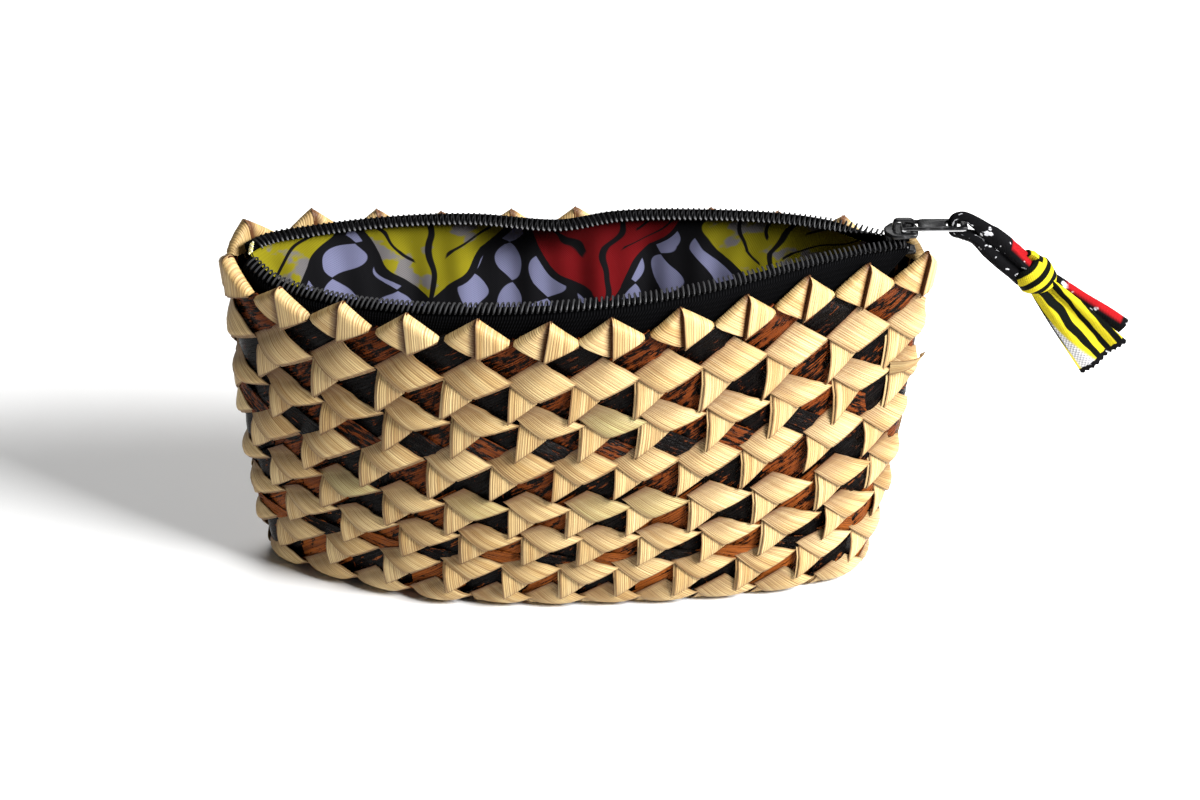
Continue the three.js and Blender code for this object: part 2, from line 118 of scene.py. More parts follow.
RISE = RIGHT_RISE * ramp(rim_x, -20, 80) + LEFT_RISE * ramp(-rim_x, 15, 68) * ramp(rim_y, -16, 6)


def on_wall(c, m, off):
    """Points on the pouch in metres: c folded points round from the slider end, m mm up the
    wall (below FLAT_M it runs in under the base), off mm out of the wall. The wall's grid is
    read bilinearly, raised with the rim towards its ends, and kept above the floor below. The
    last stretch eases up to the base's middle line as an exponential.
    """
    c, m, off = np.broadcast_arrays(c, m, off)
    column = (c % POINTS) * FINE
    eased = BASE_M + EASE * np.exp((np.minimum(m, BASE_M + EASE) - BASE_M - EASE) / EASE)
    raised = np.interp(column, np.arange(len(RISE)), RISE) * np.clip(m / NOTCH_M, 0, 1.1) ** 2
    row = np.where(m < BASE_M + EASE, eased, m) + raised
    row = np.clip(row - BASE_M, 0, len(level) - 1.001)
    i, j = row.astype(int), np.minimum(column.astype(int), POINTS * FINE - 1)
    a, b = (row - i)[..., None], (column - j)[..., None]
    def read(values):
        """Straight between the four points of the grid round each place."""
        low = (1 - b) * values[i, j] + b * values[i, j + 1]
        return (1 - a) * low + a * ((1 - b) * values[i + 1, j] + b * values[i + 1, j + 1])
    base = 1 - ramp(m, -1.5, 6)
    out = (off * (1 - BASE_PRESS * base) - BASE_LIFT * base)[..., None]
    return (read(WALL) + out * read(OUT)) * 0.001


# The outside is a plait of folded strips: in each row a cream strip lies flat, folds and turns
# down, while dyed strips slant up to the right below it. Each unit has a flat cream lozenge, a
# turned-down flap below its left corner, and the dark strip that shows beside the flap.
ROW_TABLE = [  # mm up and place of one left corner, lozenge's up, fall and down, flap, dye there
    (63.4, 17.29, 5.2, 0.0, 4.3, 10.2, 1),
    (53.4, 17.42, 2.0, 1.3, 4.1, 10.2, 1),
    (41.4, 17.0, 4.5, 0.0, 4.5, 9.4, 1),
    (30.3, 17.25, 2.2, 1.0, 4.2, 8.6, 1),
    (21.4, 17.45, 1.6, 0.7, 4.2, 8.2, 0),
    (12.4, 17.05, 2.2, 0.2, 4.3, 8.8, 1),
    (3.2, 17.45, 3.8, 0.0, 4.5, 9.2, 0),
    (-6.0, 17.0, 4.4, 0.0, 4.5, 9.0, 1),
    (-15.0, 17.4, 4.4, 0.0, 4.4, 4.8, 0),
]
GREEN_ROW, CROSSED_ROWS = 3, (2, 5)  # counted from the top: with green leaf, with crossing strips
STRIP, FLAP, LEAF = 9.4, 7.0, 0.24  # widths of a strip and a flap, and the leaf's thickness, mm
LEFT_END = 11.6  # the wall's tight left end, in folded points
FRONT = 17.4  # the middle of the front
chance = np.random.default_rng(23)
leaves = {"cream": [], "dyed": []}


def each(value):
    """One value for each unit, ready to be spread over the unit's grid."""
    return np.reshape(value, (-1, 1, 1))


def grid(first, second):
    """Two parameter lists as a (1, i, j) grid."""
    a, b = np.meshgrid(first, second, indexing="ij")
    return a[None], b[None]


def from_end(c):
    """Folded points from c to the nearer of the two tight ends."""
    c = c % POINTS
    return np.minimum(np.abs(c - LEFT_END), np.minimum(c, POINTS - c))


def lay(kind, c, m, off, thick, fibre, tone, edge, sort=0.0):
    """Adds one closed leaf per unit: its points are at columns c and heights m on the wall, its
    face off mm out of it, and thick is its thickness or its back. fibre is (across, along)."""
    under = off - thick if np.ndim(thick) == 0 else thick
    shape = np.broadcast_shapes(np.shape(c), np.shape(m), np.shape(off))
    values = [np.broadcast_to(value, shape) for value in (*fibre, tone, edge, sort)]
    leaves[kind].append((on_wall(c, m, off), on_wall(c, m, under), *values))


half_row = POINTS // 2
unit_k = np.tile(np.arange(-half_row, half_row + 1), len(ROW_TABLE))  # counted from the table's unit
row_n = np.repeat(np.arange(len(ROW_TABLE)), POINTS)
row_m, row_c, row_up, row_fall, row_down, row_flap, row_dye = np.array(ROW_TABLE)[row_n].T
count = len(unit_k)
unit_c = row_c + unit_k
unit_c = unit_c - 0.08 * np.sin((unit_c - 17) * 0.84) * np.exp(-((unit_c - FRONT) / 4.8) ** 6)
to_end = from_end(unit_c)
lift = np.clip((52 - row_m) / 25, 0, 1) * np.clip(row_m / 12, 0, 1)
unit_m = row_m + 2.4 * (1 - ramp(to_end, 0.3, 3.3)) * lift
hug = each(1 - ramp(to_end, 0.3, 2.0))  # strips lie closer to the wall round the tight ends
unit_c = each(unit_c + chance.normal(0, 0.018, count))
unit_m = each(unit_m + chance.normal(0, 0.25, count))
up, fall, down = each(row_up), each(row_fall), each(row_down)
flap = each(row_flap + chance.normal(0, 0.3, count))
tone = each(chance.random(count))
flap_tone = each(chance.random(count))
crown = each(chance.normal(0, 0.14, count))
is_green = chance.random(count) < np.where(row_n == GREEN_ROW, 0.45, 0.04)
green = each(is_green * chance.uniform(0.5, 1, count))


def bow(p):
    """Height of a lozenge along its strip, straight between eight places: it comes out from under
    the flap above, stands off the wall, and folds under at its lower right side."""
    return np.interp(p, [-0.14, 0, 0.1, 0.3, 0.55, 0.78, 0.92, 1],
                     [-0.62, -0.5, -0.15, 0.45, 0.95, 1.15, 1.05, 0.75])


def lozenge_at(p, q):
    """Columns and heights in a lozenge: p runs along its strip and q across, both from the left
    corner, so (0, 1) is the top corner, (1, 0) the lowest and (1, 1) the right one."""
    return (unit_c + 0.41 * p + 0.5 * q + 0.09 * p * q,
            unit_m - down * p + up * q + (down - up - fall) * p * q)


# lozenges: those of rows that fall to the right run on below the flap above
p, q = grid([-0.14, 0, 0.1, 0.22, 0.36, 0.52, 0.68, 0.82, 0.92, 0.975, 1.0],
            [-0.05, 0.02, 0.2, 0.4, 0.6, 0.8, 0.95, 1.0])
run_on = each(np.where(row_m > 50, 0.75, 0.3) * (row_fall > 0.5))
p = p - np.where(p < 0, run_on * np.maximum(q, 0), 0)
c, m = lozenge_at(p, q)
face = bow(p) + crown * np.sin(np.pi * np.clip(p, 0, 1)) - 0.95 * q ** 2 * ramp(p, 0.15, 0.6)
face = face + 0.25 * np.sin(np.pi * q) * ramp(p, 0, 0.5)
# painted shade: darker where the lozenge comes out from under the flap above, over its upper left part,
# and where it folds under at its lower right side; cut edges darken along both long sides
fold = np.maximum(ramp(0.1 - p, 0, 0.2), 0.58 * ramp(0.66 - p, 0, 0.7))
fold = np.maximum(fold, 0.8 * ramp(p, 0.93, 1.0))
cut = 0.7 * np.maximum(ramp(0.05 - q, 0, 0.05), ramp(q, 0.95, 1.0))
lay("cream", c, m, face, LEAF, (q * STRIP, p * STRIP), tone, np.maximum(fold, cut), green)
# the folded-under layer that shows along each lozenge's lower right side, darkened as painted shade
p, q = grid([0.84, 0.95, 1.05, 1.085], [0.02, 0.2, 0.4, 0.6, 0.8, 0.95])
c, m = lozenge_at(p, q)
face = np.interp(p, [0.84, 0.95, 1.085], [0.75, 0.65, 0.35]) + crown * 0.3 - 0.95 * q ** 2
lay("cream", c, m, face, 0.2, (q * STRIP + 4, p * STRIP), tone, 0.75, green)

# flaps: their top slips under the lozenge, and their free left edge stands off the wall
stand = each(chance.normal(0, 0.15, count))
slant = each(0.035 + chance.normal(0, 0.02, count))


def flap_at(t, w):
    """Columns, heights and faces of the flaps: t runs from the free edge to the lozenge's lowest
    corner, w from the lower edge up. The face slides from a free curve to just under the lozenge."""
    high = -down * t + 0.5
    low = -flap + t * (flap - down - 0.3)
    drop = low + w * (high - low)
    free = np.interp(t, [-0.2, 0, 0.07, 0.25, 0.5, 0.8, 1], [1.0, 1.2, 1.22, 1.15, 0.95, 0.6, 0.3])
    free = free + (stand - 0.6 * hug) * (1 - t) - 0.15 * ramp(0.1 - w, 0, 0.1)
    face = free + (bow(t) - 0.5 - free) * ramp(w, 0.45, 1.0)
    return unit_c + 0.43 * t + slant * (1 - t) * drop / flap, unit_m + drop, face


t, w = grid([0, 0.06, 0.2, 0.4, 0.6, 0.8, 0.95], [0, 0.05, 0.2, 0.4, 0.6, 0.78, 0.9, 1.0])
c, m, face = flap_at(t, w)
cut = np.maximum(0.8 * ramp(0.07 - w, 0, 0.07), 0.9 * ramp(0.05 - t, 0, 0.05))
# painted shade: darker where the flap's top slips under the lozenge, and towards its right side; cut edges
# darken along its lower and free edges
fold = np.maximum(0.8 * ramp(w, 0.72, 0.95), 0.5 * ramp(t, 0.3, 1))
lay("cream", c, m, face, LEAF, (t * FLAP, m - unit_m), flap_tone, np.maximum(cut, fold))
# the second layer that shows beside most flaps, and the one that shows below each of them, both
# darkened as painted shadow, the first most beyond the flap's free edge
double = chance.random(count) < 0.6
t, w = grid([-0.085, -0.06, 0.0, 0.15], [0.02, 0.1, 0.35, 0.6, 0.8, 0.95])
c, m, face = flap_at(t, w)
lay("cream", c[double], m[double], face[double] - 0.32, 0.14, (t * FLAP + 3, w * 10),
    flap_tone[double], 0.2 + 0.7 * ramp(-0.05 - t, 0, 0.035))
t, w = grid([0.0, 0.2, 0.45, 0.7, 0.93], [-0.055, -0.035, 0.06, 0.2])
c, m, face = flap_at(t, w)
lay("cream", c, m, np.minimum(face, 1.0) - 0.38, 0.2, (t * FLAP + 5, w * 10), flap_tone, 0.8)

# dyed strips below, slanting up to the right, alternately black and rust
rust = each((unit_k + row_dye) % 2)
strip_tone = each(((unit_k * 7 + row_m) / 11.3) % 1)
plain = each(np.clip((45 - row_m) / 45, 0, 1))
e, w = grid(np.linspace(-1.35, 0.7, 11), np.linspace(-0.5, 0.5, 7))
face = -1.75 + np.exp(-((e + 0.35) / 0.6) ** 2) * (1 - 2.2 * w * w) + 0.55 * hug
lay("dyed", unit_c + e / 2, unit_m - 4.6 + 4.5 * e + w * 11.6, face, 0.25,
    (w * STRIP, e * STRIP), strip_tone, plain, rust)
# in two rows a strip of the other dye crosses them above each lozenge
crossed = np.isin(row_n, CROSSED_ROWS)
p, q = grid([-0.3, 0, 0.3, 0.6, 0.85, 1.1], [0.9, 1.1, 1.3, 1.5, 1.62])
c, m = lozenge_at(p, q)
face = -0.55 - 0.25 * np.abs(q - 1.26) + 0.5 * hug
lay("dyed", c[crossed], m[crossed], face[crossed], 0.2, (q * STRIP, p * STRIP),
    (strip_tone[crossed] + 0.37) % 1, plain[crossed], each((unit_k + 1) % 2)[crossed])

# The rim is finished with folded points: each is a lozenge bent over the edge, its right half
# covered by a flap with a crisp left edge. Both halves wrap over the rim to the inside.
PEAK, FALL = 5.5, 4.1  # mm from the notches up to the tips and down to the lowest corners
RIM_ROUND, RIM_BACK = 1.5, 1.2  # the bend over the rim, and how far a point's back lies inside
peak_k = np.arange(POINTS)
tip_c = peak_k + 0.75
tip_hug = each(1 - ramp(from_end(tip_c), 0.3, 2.0))
tip_c = each(tip_c + 0.09 * np.exp(-((tip_c - FRONT) / 4.0) ** 4) + chance.normal(0, 0.02, POINTS))
tip_m = each(NOTCH_M + chance.normal(0, 0.3, POINTS))
lean = each(chance.normal(0.03, 0.03, POINTS))
peak_tone = each(chance.random(POINTS))
flap_peak_tone = (peak_tone + 0.4) % 1


def wrap(height, drop):
    """Face and back of a leaf bent over the rim: a quarter round of drop, the mm below its upper
    edge, parts them from each other, and they all but meet at the edge."""
    bend = np.sqrt(1 - (1 - np.clip(drop / RIM_ROUND, 0.0004, 1)) ** 2)
    return -1.0 + (1.0 + height) * bend, -1.0 - RIM_BACK * bend


def climb(half, w):
    """Heights over the notch: w runs from the lower edge to the upper one, and half is the share of
    the full height that a point has there."""
    return half * (w * (PEAK + FALL) - FALL)


# left halves, with t from the notch past the middle
rim_w = [0, 0.06, 0.2, 0.4, 0.6, 0.76, 0.88, 0.95, 0.985, 1]
t, w = grid([0.06, 0.2, 0.36, 0.54, 0.72, 0.87, 0.95, 1.06], rim_w)
half = np.minimum(t, 1)
rise = climb(half, w)
bulge = np.interp(t, [0, 0.2, 0.5, 0.75, 0.87, 0.95, 1.06], [0.2, 0.7, 0.95, 0.8, 0.5, 0.1, -0.3])
face, under = wrap(bulge, (1 - w) * (PEAK + FALL) * half)
p, q = t / 2 - rise / 11, t / 2 + rise / 11
# painted shade darkens each left half towards the slit under the right half's edge; its lower cut edge
# darkens too
lay("cream", tip_c - 0.5 + t / 2 + lean * t * rise / PEAK, tip_m + rise, face, under,
    (q * STRIP, p * STRIP), peak_tone,
    np.maximum(0.7 * ramp(0.07 - w, 0, 0.07), 1.1 * ramp(t, 0.7, 1.0)))
# right halves, with t from the middle to the notch
t, w = grid([0, 0.03, 0.15, 0.35, 0.6, 0.8, 0.95], rim_w)
half = 1 - t
rise = climb(half, w)
bulge = np.interp(t, [0, 0.05, 0.25, 0.6, 1], [1.15, 1.2, 1.2, 1.0, 0.4])
face, under = wrap(bulge, (1 - w) * (PEAK + FALL) * half)
# painted shade darkens the right half's crisp left edge; its lower cut edge darkens too
lay("cream", tip_c + t / 2 + lean * half * rise / PEAK, tip_m + rise, face, under,
    (t * FLAP, rise + 0.3 * t), flap_peak_tone,
    np.maximum(0.8 * ramp(0.08 - w, 0, 0.08), 1.1 * ramp(0.03 - t, 0, 0.03)))
# the second layer that shows below each right half, darkened as painted shade
t, w = grid([0.0, 0.25, 0.5, 0.75, 0.94], [-0.055, -0.035, 0.08, 0.2])
rise = climb(1 - t, w) - 0.25
face = np.interp(w, [-0.055, -0.035, 0.2], [0.2, 0.4, 0.55]) + 0.3 * (1 - t)
lay("cream", tip_c + t / 2 + lean * (1 - t) * rise / PEAK, tip_m + rise, face, 0.4,
    (t * FLAP + 5, w * 10), flap_peak_tone, 0.85)
# the dyed strips that show between the points and the first row
w, e = grid(np.linspace(-1.12, 1.2, 8), np.linspace(-1.5, 1.15, 11))
face = -1.6 + 1.3 * np.exp(-(e / 0.9) ** 2) * (1 - 0.4 * w * w) + 0.4 * tip_hug
m = tip_m - FALL + np.where(e > w, FALL / 2, 2.6) * (e - w)
lay("dyed", tip_c - 0.5 + (e + w) / 4, m, face, 0.4, (w * STRIP / 2, e * STRIP / 2),
    each((peak_k * 3 / POINTS) % 1), 0.0, each((peak_k + 1) % 2))

# One loose strip end curls off the plait at the slider end. It is a narrow sliver of the same
# leaf, and its root is tucked in below the strips.
LOOSE_END = np.array([(72.6, -6.6, 54.0), (75.8, -7.2, 54.7), (78.0, -7.0, 55.5), (79.4, -6.6, 56.5),
                      (79.8, -6.4, 57.8)])  # its middle line, mm
LOOSE_HALF = 0.1  # half its thickness


def between(rows, share):
    """Values straight between rows (n, d), at shares of their count."""
    return np.stack([np.interp(share, np.linspace(0, 1, len(rows)), axis) for axis in rows.T], -1)


s, w = grid(np.linspace(0, 1, 14), [-1.0, 0, 1.0])
curl = between(LOOSE_END, s)
curl = curl + np.stack([0.6 * w * s, -0.5 * w * (1 - s), 2.0 * w * (1 - 0.85 * s)], -1)
side = normed(np.cross(np.gradient(curl, axis=1), np.gradient(curl, axis=2))) * LOOSE_HALF
frayed = ramp(np.abs(w), 0.6, 1.0) * 0.6 + ramp(s, 0.85, 1) * 0.5
leaves["cream"].append(((curl + side) * 0.001, (curl - side) * 0.001, w * 1.4, s * 9,
                        np.full(s.shape, 0.5), frayed, np.zeros(s.shape)))

# The strips are palm leaf, split and left cream, or dyed black and rust. Its fibres run along each
# strip as fine ribs and veins, it darkens at cut edges, painted shade darkens it at folds, where
# it slips under other strips and beside the points' slits, and the dye leaves it mottled.


def leaf_faces(i, j, n):
    """Quads of n closed leaves of i by j points: face, back and the rim between them."""
    index = np.arange(i * j).reshape(i, j)
    face = np.stack([index[:-1, :-1], index[1:, :-1], index[1:, 1:], index[:-1, 1:]], -1).reshape(-1, 4)
    loop = np.concatenate([index[:, 0], index[-1, 1:], index[-2::-1, -1], index[0, -2:0:-1]])
    after = np.roll(loop, -1)
    rim = np.stack([loop, loop + i * j, after + i * j, after], -1)
    one = np.concatenate([face, face[:, ::-1] + i * j, rim])
    return (one[None] + (np.arange(n) * 2 * i * j)[:, None, None]).reshape(-1, 4)


def piece(name, verts, faces, body, slot, finish, uv=None, **values):
    """Mesh object from vertices in metres and faces, shaded smooth up to edges of about 50
    degrees, with a map of fibre or cloth lengths and any values held on its points."""
    mesh = bpy.data.meshes.new(name)
    mesh.from_pydata(verts, [], faces)
    mesh.polygons.foreach_set("use_smooth", np.ones(len(mesh.polygons), bool))
    mesh.set_sharp_from_angle(angle=0.9)
    if uv is not None:
        corner = np.zeros(len(mesh.loops), np.int32)
        mesh.loops.foreach_get("vertex_index", corner)
        mesh.uv_layers.new(name="lengths").data.foreach_set("uv", uv[corner].astype(np.float32).ravel())
    for key, value in values.items():
        held = mesh.attributes.new(key, "FLOAT", "POINT")
        held.data.foreach_set("value", np.broadcast_to(value, len(verts)).astype(np.float32))
    mesh.materials.append(finish)
    mesh.update()
    made = bpy.data.objects.new(name, mesh)
    bpy.context.scene.collection.objects.link(made)
    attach(made, body)
    return made


def leaf_piece(name, laid, body, slot, finish):
    """All leaves of a list as one piece: each leaf's face, then its back, with the same values."""
    quads, points, base = [], [], 0
    for face, back, *values in laid:
        n, i, j, _ = face.shape
        quads.append(leaf_faces(i, j, n) + base)
        base += n * 2 * i * j
        values = np.stack(values, -1)
        sides = [np.concatenate([side, values], -1).reshape(n, i * j, -1) for side in (face, back)]
        points.append(np.stack(sides, 1).reshape(n * 2 * i * j, -1))
    points = np.concatenate(points)
    return piece(name, points[:, :3], np.concatenate(quads), body, slot, finish, points[:, 3:5],
                 tone=points[:, 5], edge=points[:, 6], sort=points[:, 7])


class Wire:
    """An output of a material's nodes. Sums, products and powers of wires add Math nodes."""

    def __init__(self, finish, made, out):
        self.finish, self.made, self.socket = finish, made, made.outputs[out]

    def math(self, operation, other=0.0, clamp=False):
        """One Math node on this value and another."""
        settings = {"operation": operation, "use_clamp": clamp}
        return self.finish.node("ShaderNodeMath", settings, {0: self, 1: other})

    def __add__(self, other):
        return self.math("ADD", other)

    def __sub__(self, other):
        return self.math("SUBTRACT", other)

    def __rsub__(self, other):
        return self.finish.node("ShaderNodeMath", {"operation": "SUBTRACT"}, {0: other, 1: self})

    def __mul__(self, other):
        return self.math("MULTIPLY", other)

    def __truediv__(self, other):
        return self.math("DIVIDE", other)

    def __pow__(self, other):
        return self.math("POWER", other)

    __radd__, __rmul__ = __add__, __mul__

    def clip(self):
        """Kept between 0 and 1."""
        return self.math("ADD", 0.0, True)

    def wave(self):
        """Its sine, moved to run from 0 to 1."""
        return self.math("SINE") * 0.5 + 0.5

    def over(self, edge, soft):
        """0 below edge, 1 above, with a ramp soft wide."""
        return ((self - (edge - soft / 2)) / soft).clip()

    def other(self, out):
        """Another output of the same node."""
        return Wire(self.finish, self.made, out)


class Finish:
    """A material on one Principled shader, with constants set on the shader's own sockets."""

    def __init__(self, name, constants):
        self.material = bpy.data.materials.new(name)
        self.material.use_nodes = True
        self.tree = self.material.node_tree
        self.shader = self.tree.nodes["Principled BSDF"]
        self.feed(self.shader, constants)

    def feed(self, made, sockets):
        """Links wires to a node's sockets, and sets plain values on them."""
        for key, value in sockets.items():
            if isinstance(value, Wire):
                self.tree.links.new(value.socket, made.inputs[key])
            else:
                made.inputs[key].default_value = value

    def node(self, kind, settings, sockets, out=0):
        """One node of any kind: settings first, then socket values or links."""
        made = self.tree.nodes.new(kind)
        for key, value in settings.items():
            setattr(made, key, value)
        self.feed(made, sockets)
        return Wire(self, made, out)

    def mix(self, share, a, b):
        """Colour a where share is 0, b where it is 1."""
        a, b = (tuple(x) + (1.0,) if isinstance(x, tuple) else x for x in (a, b))
        return self.node("ShaderNodeMix", {"data_type": "RGBA"}, {0: share, 6: a, 7: b}, 2)

    def held(self, key):
        """A value that the mesh holds on its points."""
        return self.node("ShaderNodeAttribute", {"attribute_name": key}, {}, "Fac")

    def lengths(self):
        """The map's two lengths in mm: across and along."""
        uv = self.node("ShaderNodeUVMap", {"uv_map": "lengths"}, {})
        apart = self.node("ShaderNodeSeparateXYZ", {}, {0: uv})
        return apart, apart.other(1)

    def speckle(self, scale, detail):
        """Noise on Object coordinates, scale spots to the metre."""
        place = self.node("ShaderNodeTexCoord", {}, {}, "Object")
        return self.node("ShaderNodeTexNoise", {}, {"Vector": place, "Scale": scale, "Detail": detail})

    def noise(self, x, y, z, detail=2.0, rough=0.5):
        """Noise at a place given by three values."""
        place = self.node("ShaderNodeCombineXYZ", {}, {0: x, 1: y, 2: z})
        sockets = {"Vector": place, "Scale": 1.0, "Detail": detail, "Roughness": rough}
        return self.node("ShaderNodeTexNoise", {}, sockets)

    def bump(self, height, depth):
        """Normal for a height from 0 to 1, depth metres deep."""
        return self.node("ShaderNodeBump", {}, {"Strength": 1.0, "Distance": depth, "Height": height})

    def done(self, sockets):
        """Links what varies to the shader, and gives the material."""
        self.feed(self.shader, sockets)
        return self.material


palm = Finish("palm_leaf", {"Specular IOR Level": 0.25})
across, along = palm.lengths()
tone_in, cut_edge_and_painted_shade, green_in = palm.held("tone"), palm.held("edge"), palm.held("sort")
drift = palm.noise(across * 0.6 + tone_in * 61, along * 0.025, tone_in * 9)
wander = palm.noise(across * 1.3 + tone_in * 83, along * 0.03, tone_in * 17)
hair = palm.noise(across * 6.0 + tone_in * 37, along * 0.04, tone_in * 5, 2.0, 0.6)
rib = (across * 11.5 + drift * 9.0).wave()
line = rib ** 2.0 * wander.over(0.46, 0.3)
fine = 1 - hair.over(0.47, 0.16)
colour = palm.mix(drift.over(0.5, 0.3), (0.46, 0.295, 0.108), (0.63, 0.465, 0.215))
colour = palm.mix(tone_in * 0.4, colour, (0.76, 0.61, 0.32))
colour = palm.mix(green_in * 0.8, colour, (0.32, 0.35, 0.15))
colour = palm.mix(fine * 0.6, colour, (0.22, 0.105, 0.032))
colour = palm.mix(line * 0.7, colour, (0.14, 0.06, 0.017))
# cut edges darken the cream leaf, and the same value carries painted shade at folds, tucks and slits
colour = palm.mix((cut_edge_and_painted_shade * 0.95).clip(), colour, (0.085, 0.03, 0.009))
palm_finish = palm.done({"Base Color": colour, "Roughness": 0.45 + line * 0.2,
                         "Normal": palm.bump(rib * 0.4 + hair * 0.6, 0.00012)})

dyed = Finish("dyed_leaf", {"Specular IOR Level": 0.06})
across, along = dyed.lengths()
tone_in, rust_in, plain_in = dyed.held("tone"), dyed.held("sort"), dyed.held("edge")
mottle = dyed.noise(across * 0.7 + tone_in * 71, along * 0.24, tone_in * 29, 4.0, 0.7)
vein = dyed.noise(across * 3.2 + tone_in * 43, along * 0.05, tone_in * 13, 3.0, 0.6)
dye_edge = 0.61 - 0.105 * rust_in - 0.1 * rust_in * plain_in
bare = (mottle * 0.75 + vein * 0.25 - dye_edge).over(0.0, 0.07)
warm = dyed.mix(plain_in, (0.165, 0.036, 0.006), (0.34, 0.095, 0.016))
warm = dyed.mix((1 - vein.over(0.5, 0.25)) * 0.8, warm, (0.045, 0.009, 0.002))
ink = dyed.mix(vein.over(0.62, 0.2), (0.0008, 0.0005, 0.0005), (0.006, 0.003, 0.0025))
dyed_finish = dyed.done({"Base Color": dyed.mix(bare, ink, warm), "Roughness": 0.2 + bare * 0.14,
                         "Normal": dyed.bump(vein, 0.0005)})

cream_strips = leaf_piece("cream_strips", leaves["cream"], "purse", "palm_leaf", palm_finish)
leaf_piece("dyed_strips", leaves["dyed"], "purse", "palm_leaf", dyed_finish)
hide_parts("woven_body")

# The inner layer of the plait closes every gap between the strips. It is the same dark leaf, in one
# thin skin below them from the base's middle line up to the notches.
CORE_OUT, CORE_IN = -1.85, -2.2  # its two faces, mm out of the wall
CORE_LOW, CORE_TOP = -34, 73.3  # its first row, eased up to the base's middle line, and its last
POINT_W = 15  # mm of wall for each folded point


def tube_faces(rows, columns, closed):
    """Quads of a grid of rows round a loop of columns; closed joins the last row to the first."""
    index = np.arange(rows * columns).reshape(rows, columns)
    if closed:
        index = np.concatenate([index, index[:1]])
    beside = np.roll(index, -1, 1)
    return np.stack([index[:-1], beside[:-1], beside[1:], index[1:]], -1).reshape(-1, 4)


def map_of(across, along):
    """Rows of (across, along) from two arrays that spread over each other."""
    return np.stack(np.broadcast_arrays(across, along), -1).reshape(-1, 2)


core_m = np.concatenate([[CORE_LOW], np.linspace(-19.9, 5, 12), np.linspace(12, CORE_TOP, 10)])[:, None]
core_c = np.arange(POINTS * 4) / 4
core = np.concatenate([on_wall(core_c, core_m, CORE_OUT), on_wall(core_c, core_m[::-1], CORE_IN)])
piece("plait_core", core.reshape(-1, 3), tube_faces(*core.shape[:2], True), "purse", "palm_leaf",
      dyed_finish, map_of(core_c * POINT_W, np.r_[core_m, core_m[::-1]]), tone=0.4, sort=0.0, edge=0.0)

# The zip is a black woven tape with a nylon coil along its free edge. Each half is sewn inside the
# rim, leaves the wall below the folded points and turns in to the coil.
COILS = {  # the two coils from the left end of the mouth to the slider: x, y, z (mm)
    "front": [(-69.4, -1.2, 80.2), (-66.5, -4.3, 78.6), (-62, -7.5, 77), (-48, -13.8, 76.2),
              (-27, -21, 77.8), (2, -25, 80.5), (27, -20.4, 81.6), (51, -9.8, 82.4), (64, -4.2, 82.3),
              (70.7, -2.2, 82.3), (72.4, -1.6, 82.3), (74.4, -0.9, 82.3), (76.4, -0.8, 82.3)],
    "back": [(-69.4, 1.2, 80.2), (-66, 5, 80.2), (-57, 9, 80), (-38, 14, 79.8), (-21, 14.9, 79.8),
             (-1, 11.6, 79.8), (12, 15.6, 80), (29, 15.2, 80.6), (51, 10.6, 81.6), (64, 5, 82.1),
             (70.7, 2.2, 82.3), (72.4, 1.6, 82.3), (74.4, 0.9, 82.3), (76.4, 0.8, 82.3)],
}
TAPE, TAPE_INSET = 0.6, 2.9  # its thickness, and its middle's place inside the wall
TAPE_LOW, TAPE_BEND = 63.0, 72.0  # heights of the sewn edge and of the bend away from the wall
SEWN = (0.04, 0.925)  # shares of the wall's half outline between which the tape is sewn
FOLD_OUT, FOLD_NEAR = 2.8, 1.9  # the fold's distance from the free edge, and that near the slider
FOLD_DROP = {"front": (1.6, 45, 68), "back": (-1.7, 58, 70)}  # below the edge, levelling off in x
FOLD_END = 0.5  # how far below the edge the fold lies at the slider
TAPE_LONG, TAPE_ROWS, TAPE_COLUMNS = 160, 150, 15  # its length in the map, and its grid


def smooth_line(rows, steps):
    """Centripetal Catmull-Rom curve through the rows, at even steps of its length."""
    points = np.array(rows, float)
    points = np.concatenate([[2 * points[0] - points[1]], points, [2 * points[-1] - points[-2]]])
    gap = np.linalg.norm(np.diff(points, axis=0), axis=1)[:, None, None] ** 0.5
    a, b, c, d = (points[i:len(points) - 3 + i, None] for i in range(4))
    t0, t1, t2 = gap[:-2], gap[1:-1], gap[2:]
    start = ((b - a) / t0 - (c - a) / (t0 + t1) + (c - b) / t1) * t1
    stop = ((c - b) / t1 - (d - b) / (t1 + t2) + (d - c) / t2) * t1
    t = np.linspace(0, 1, 60)[None, :, None]
    curve = ((2 * t**3 - 3 * t**2 + 1) * b + (t**3 - 2 * t**2 + t) * start
             + (3 * t**2 - 2 * t**3) * c + (t**3 - t**2) * stop)
    return evenly(curve.reshape(-1, 3), np.linspace(0, 1, steps))


def at_height(loop, z):
    """A plan loop (n, 2) as points at height z."""
    return np.concatenate([loop, np.full((len(loop), 1), z)], 1)


def wall_line(side, share, z, inset):
    """Points in mm along the sewn part of one half of the outline, at shares of it from the left
    end to the slider."""
    loop = outline(np.array([z]), np.array([inset]))[0]
    half = loop[HALF_TURN::-1] if side == "back" else loop[HALF_TURN:]
    return at_height(evenly(half, SEWN[0] + (SEWN[1] - SEWN[0]) * share), z)


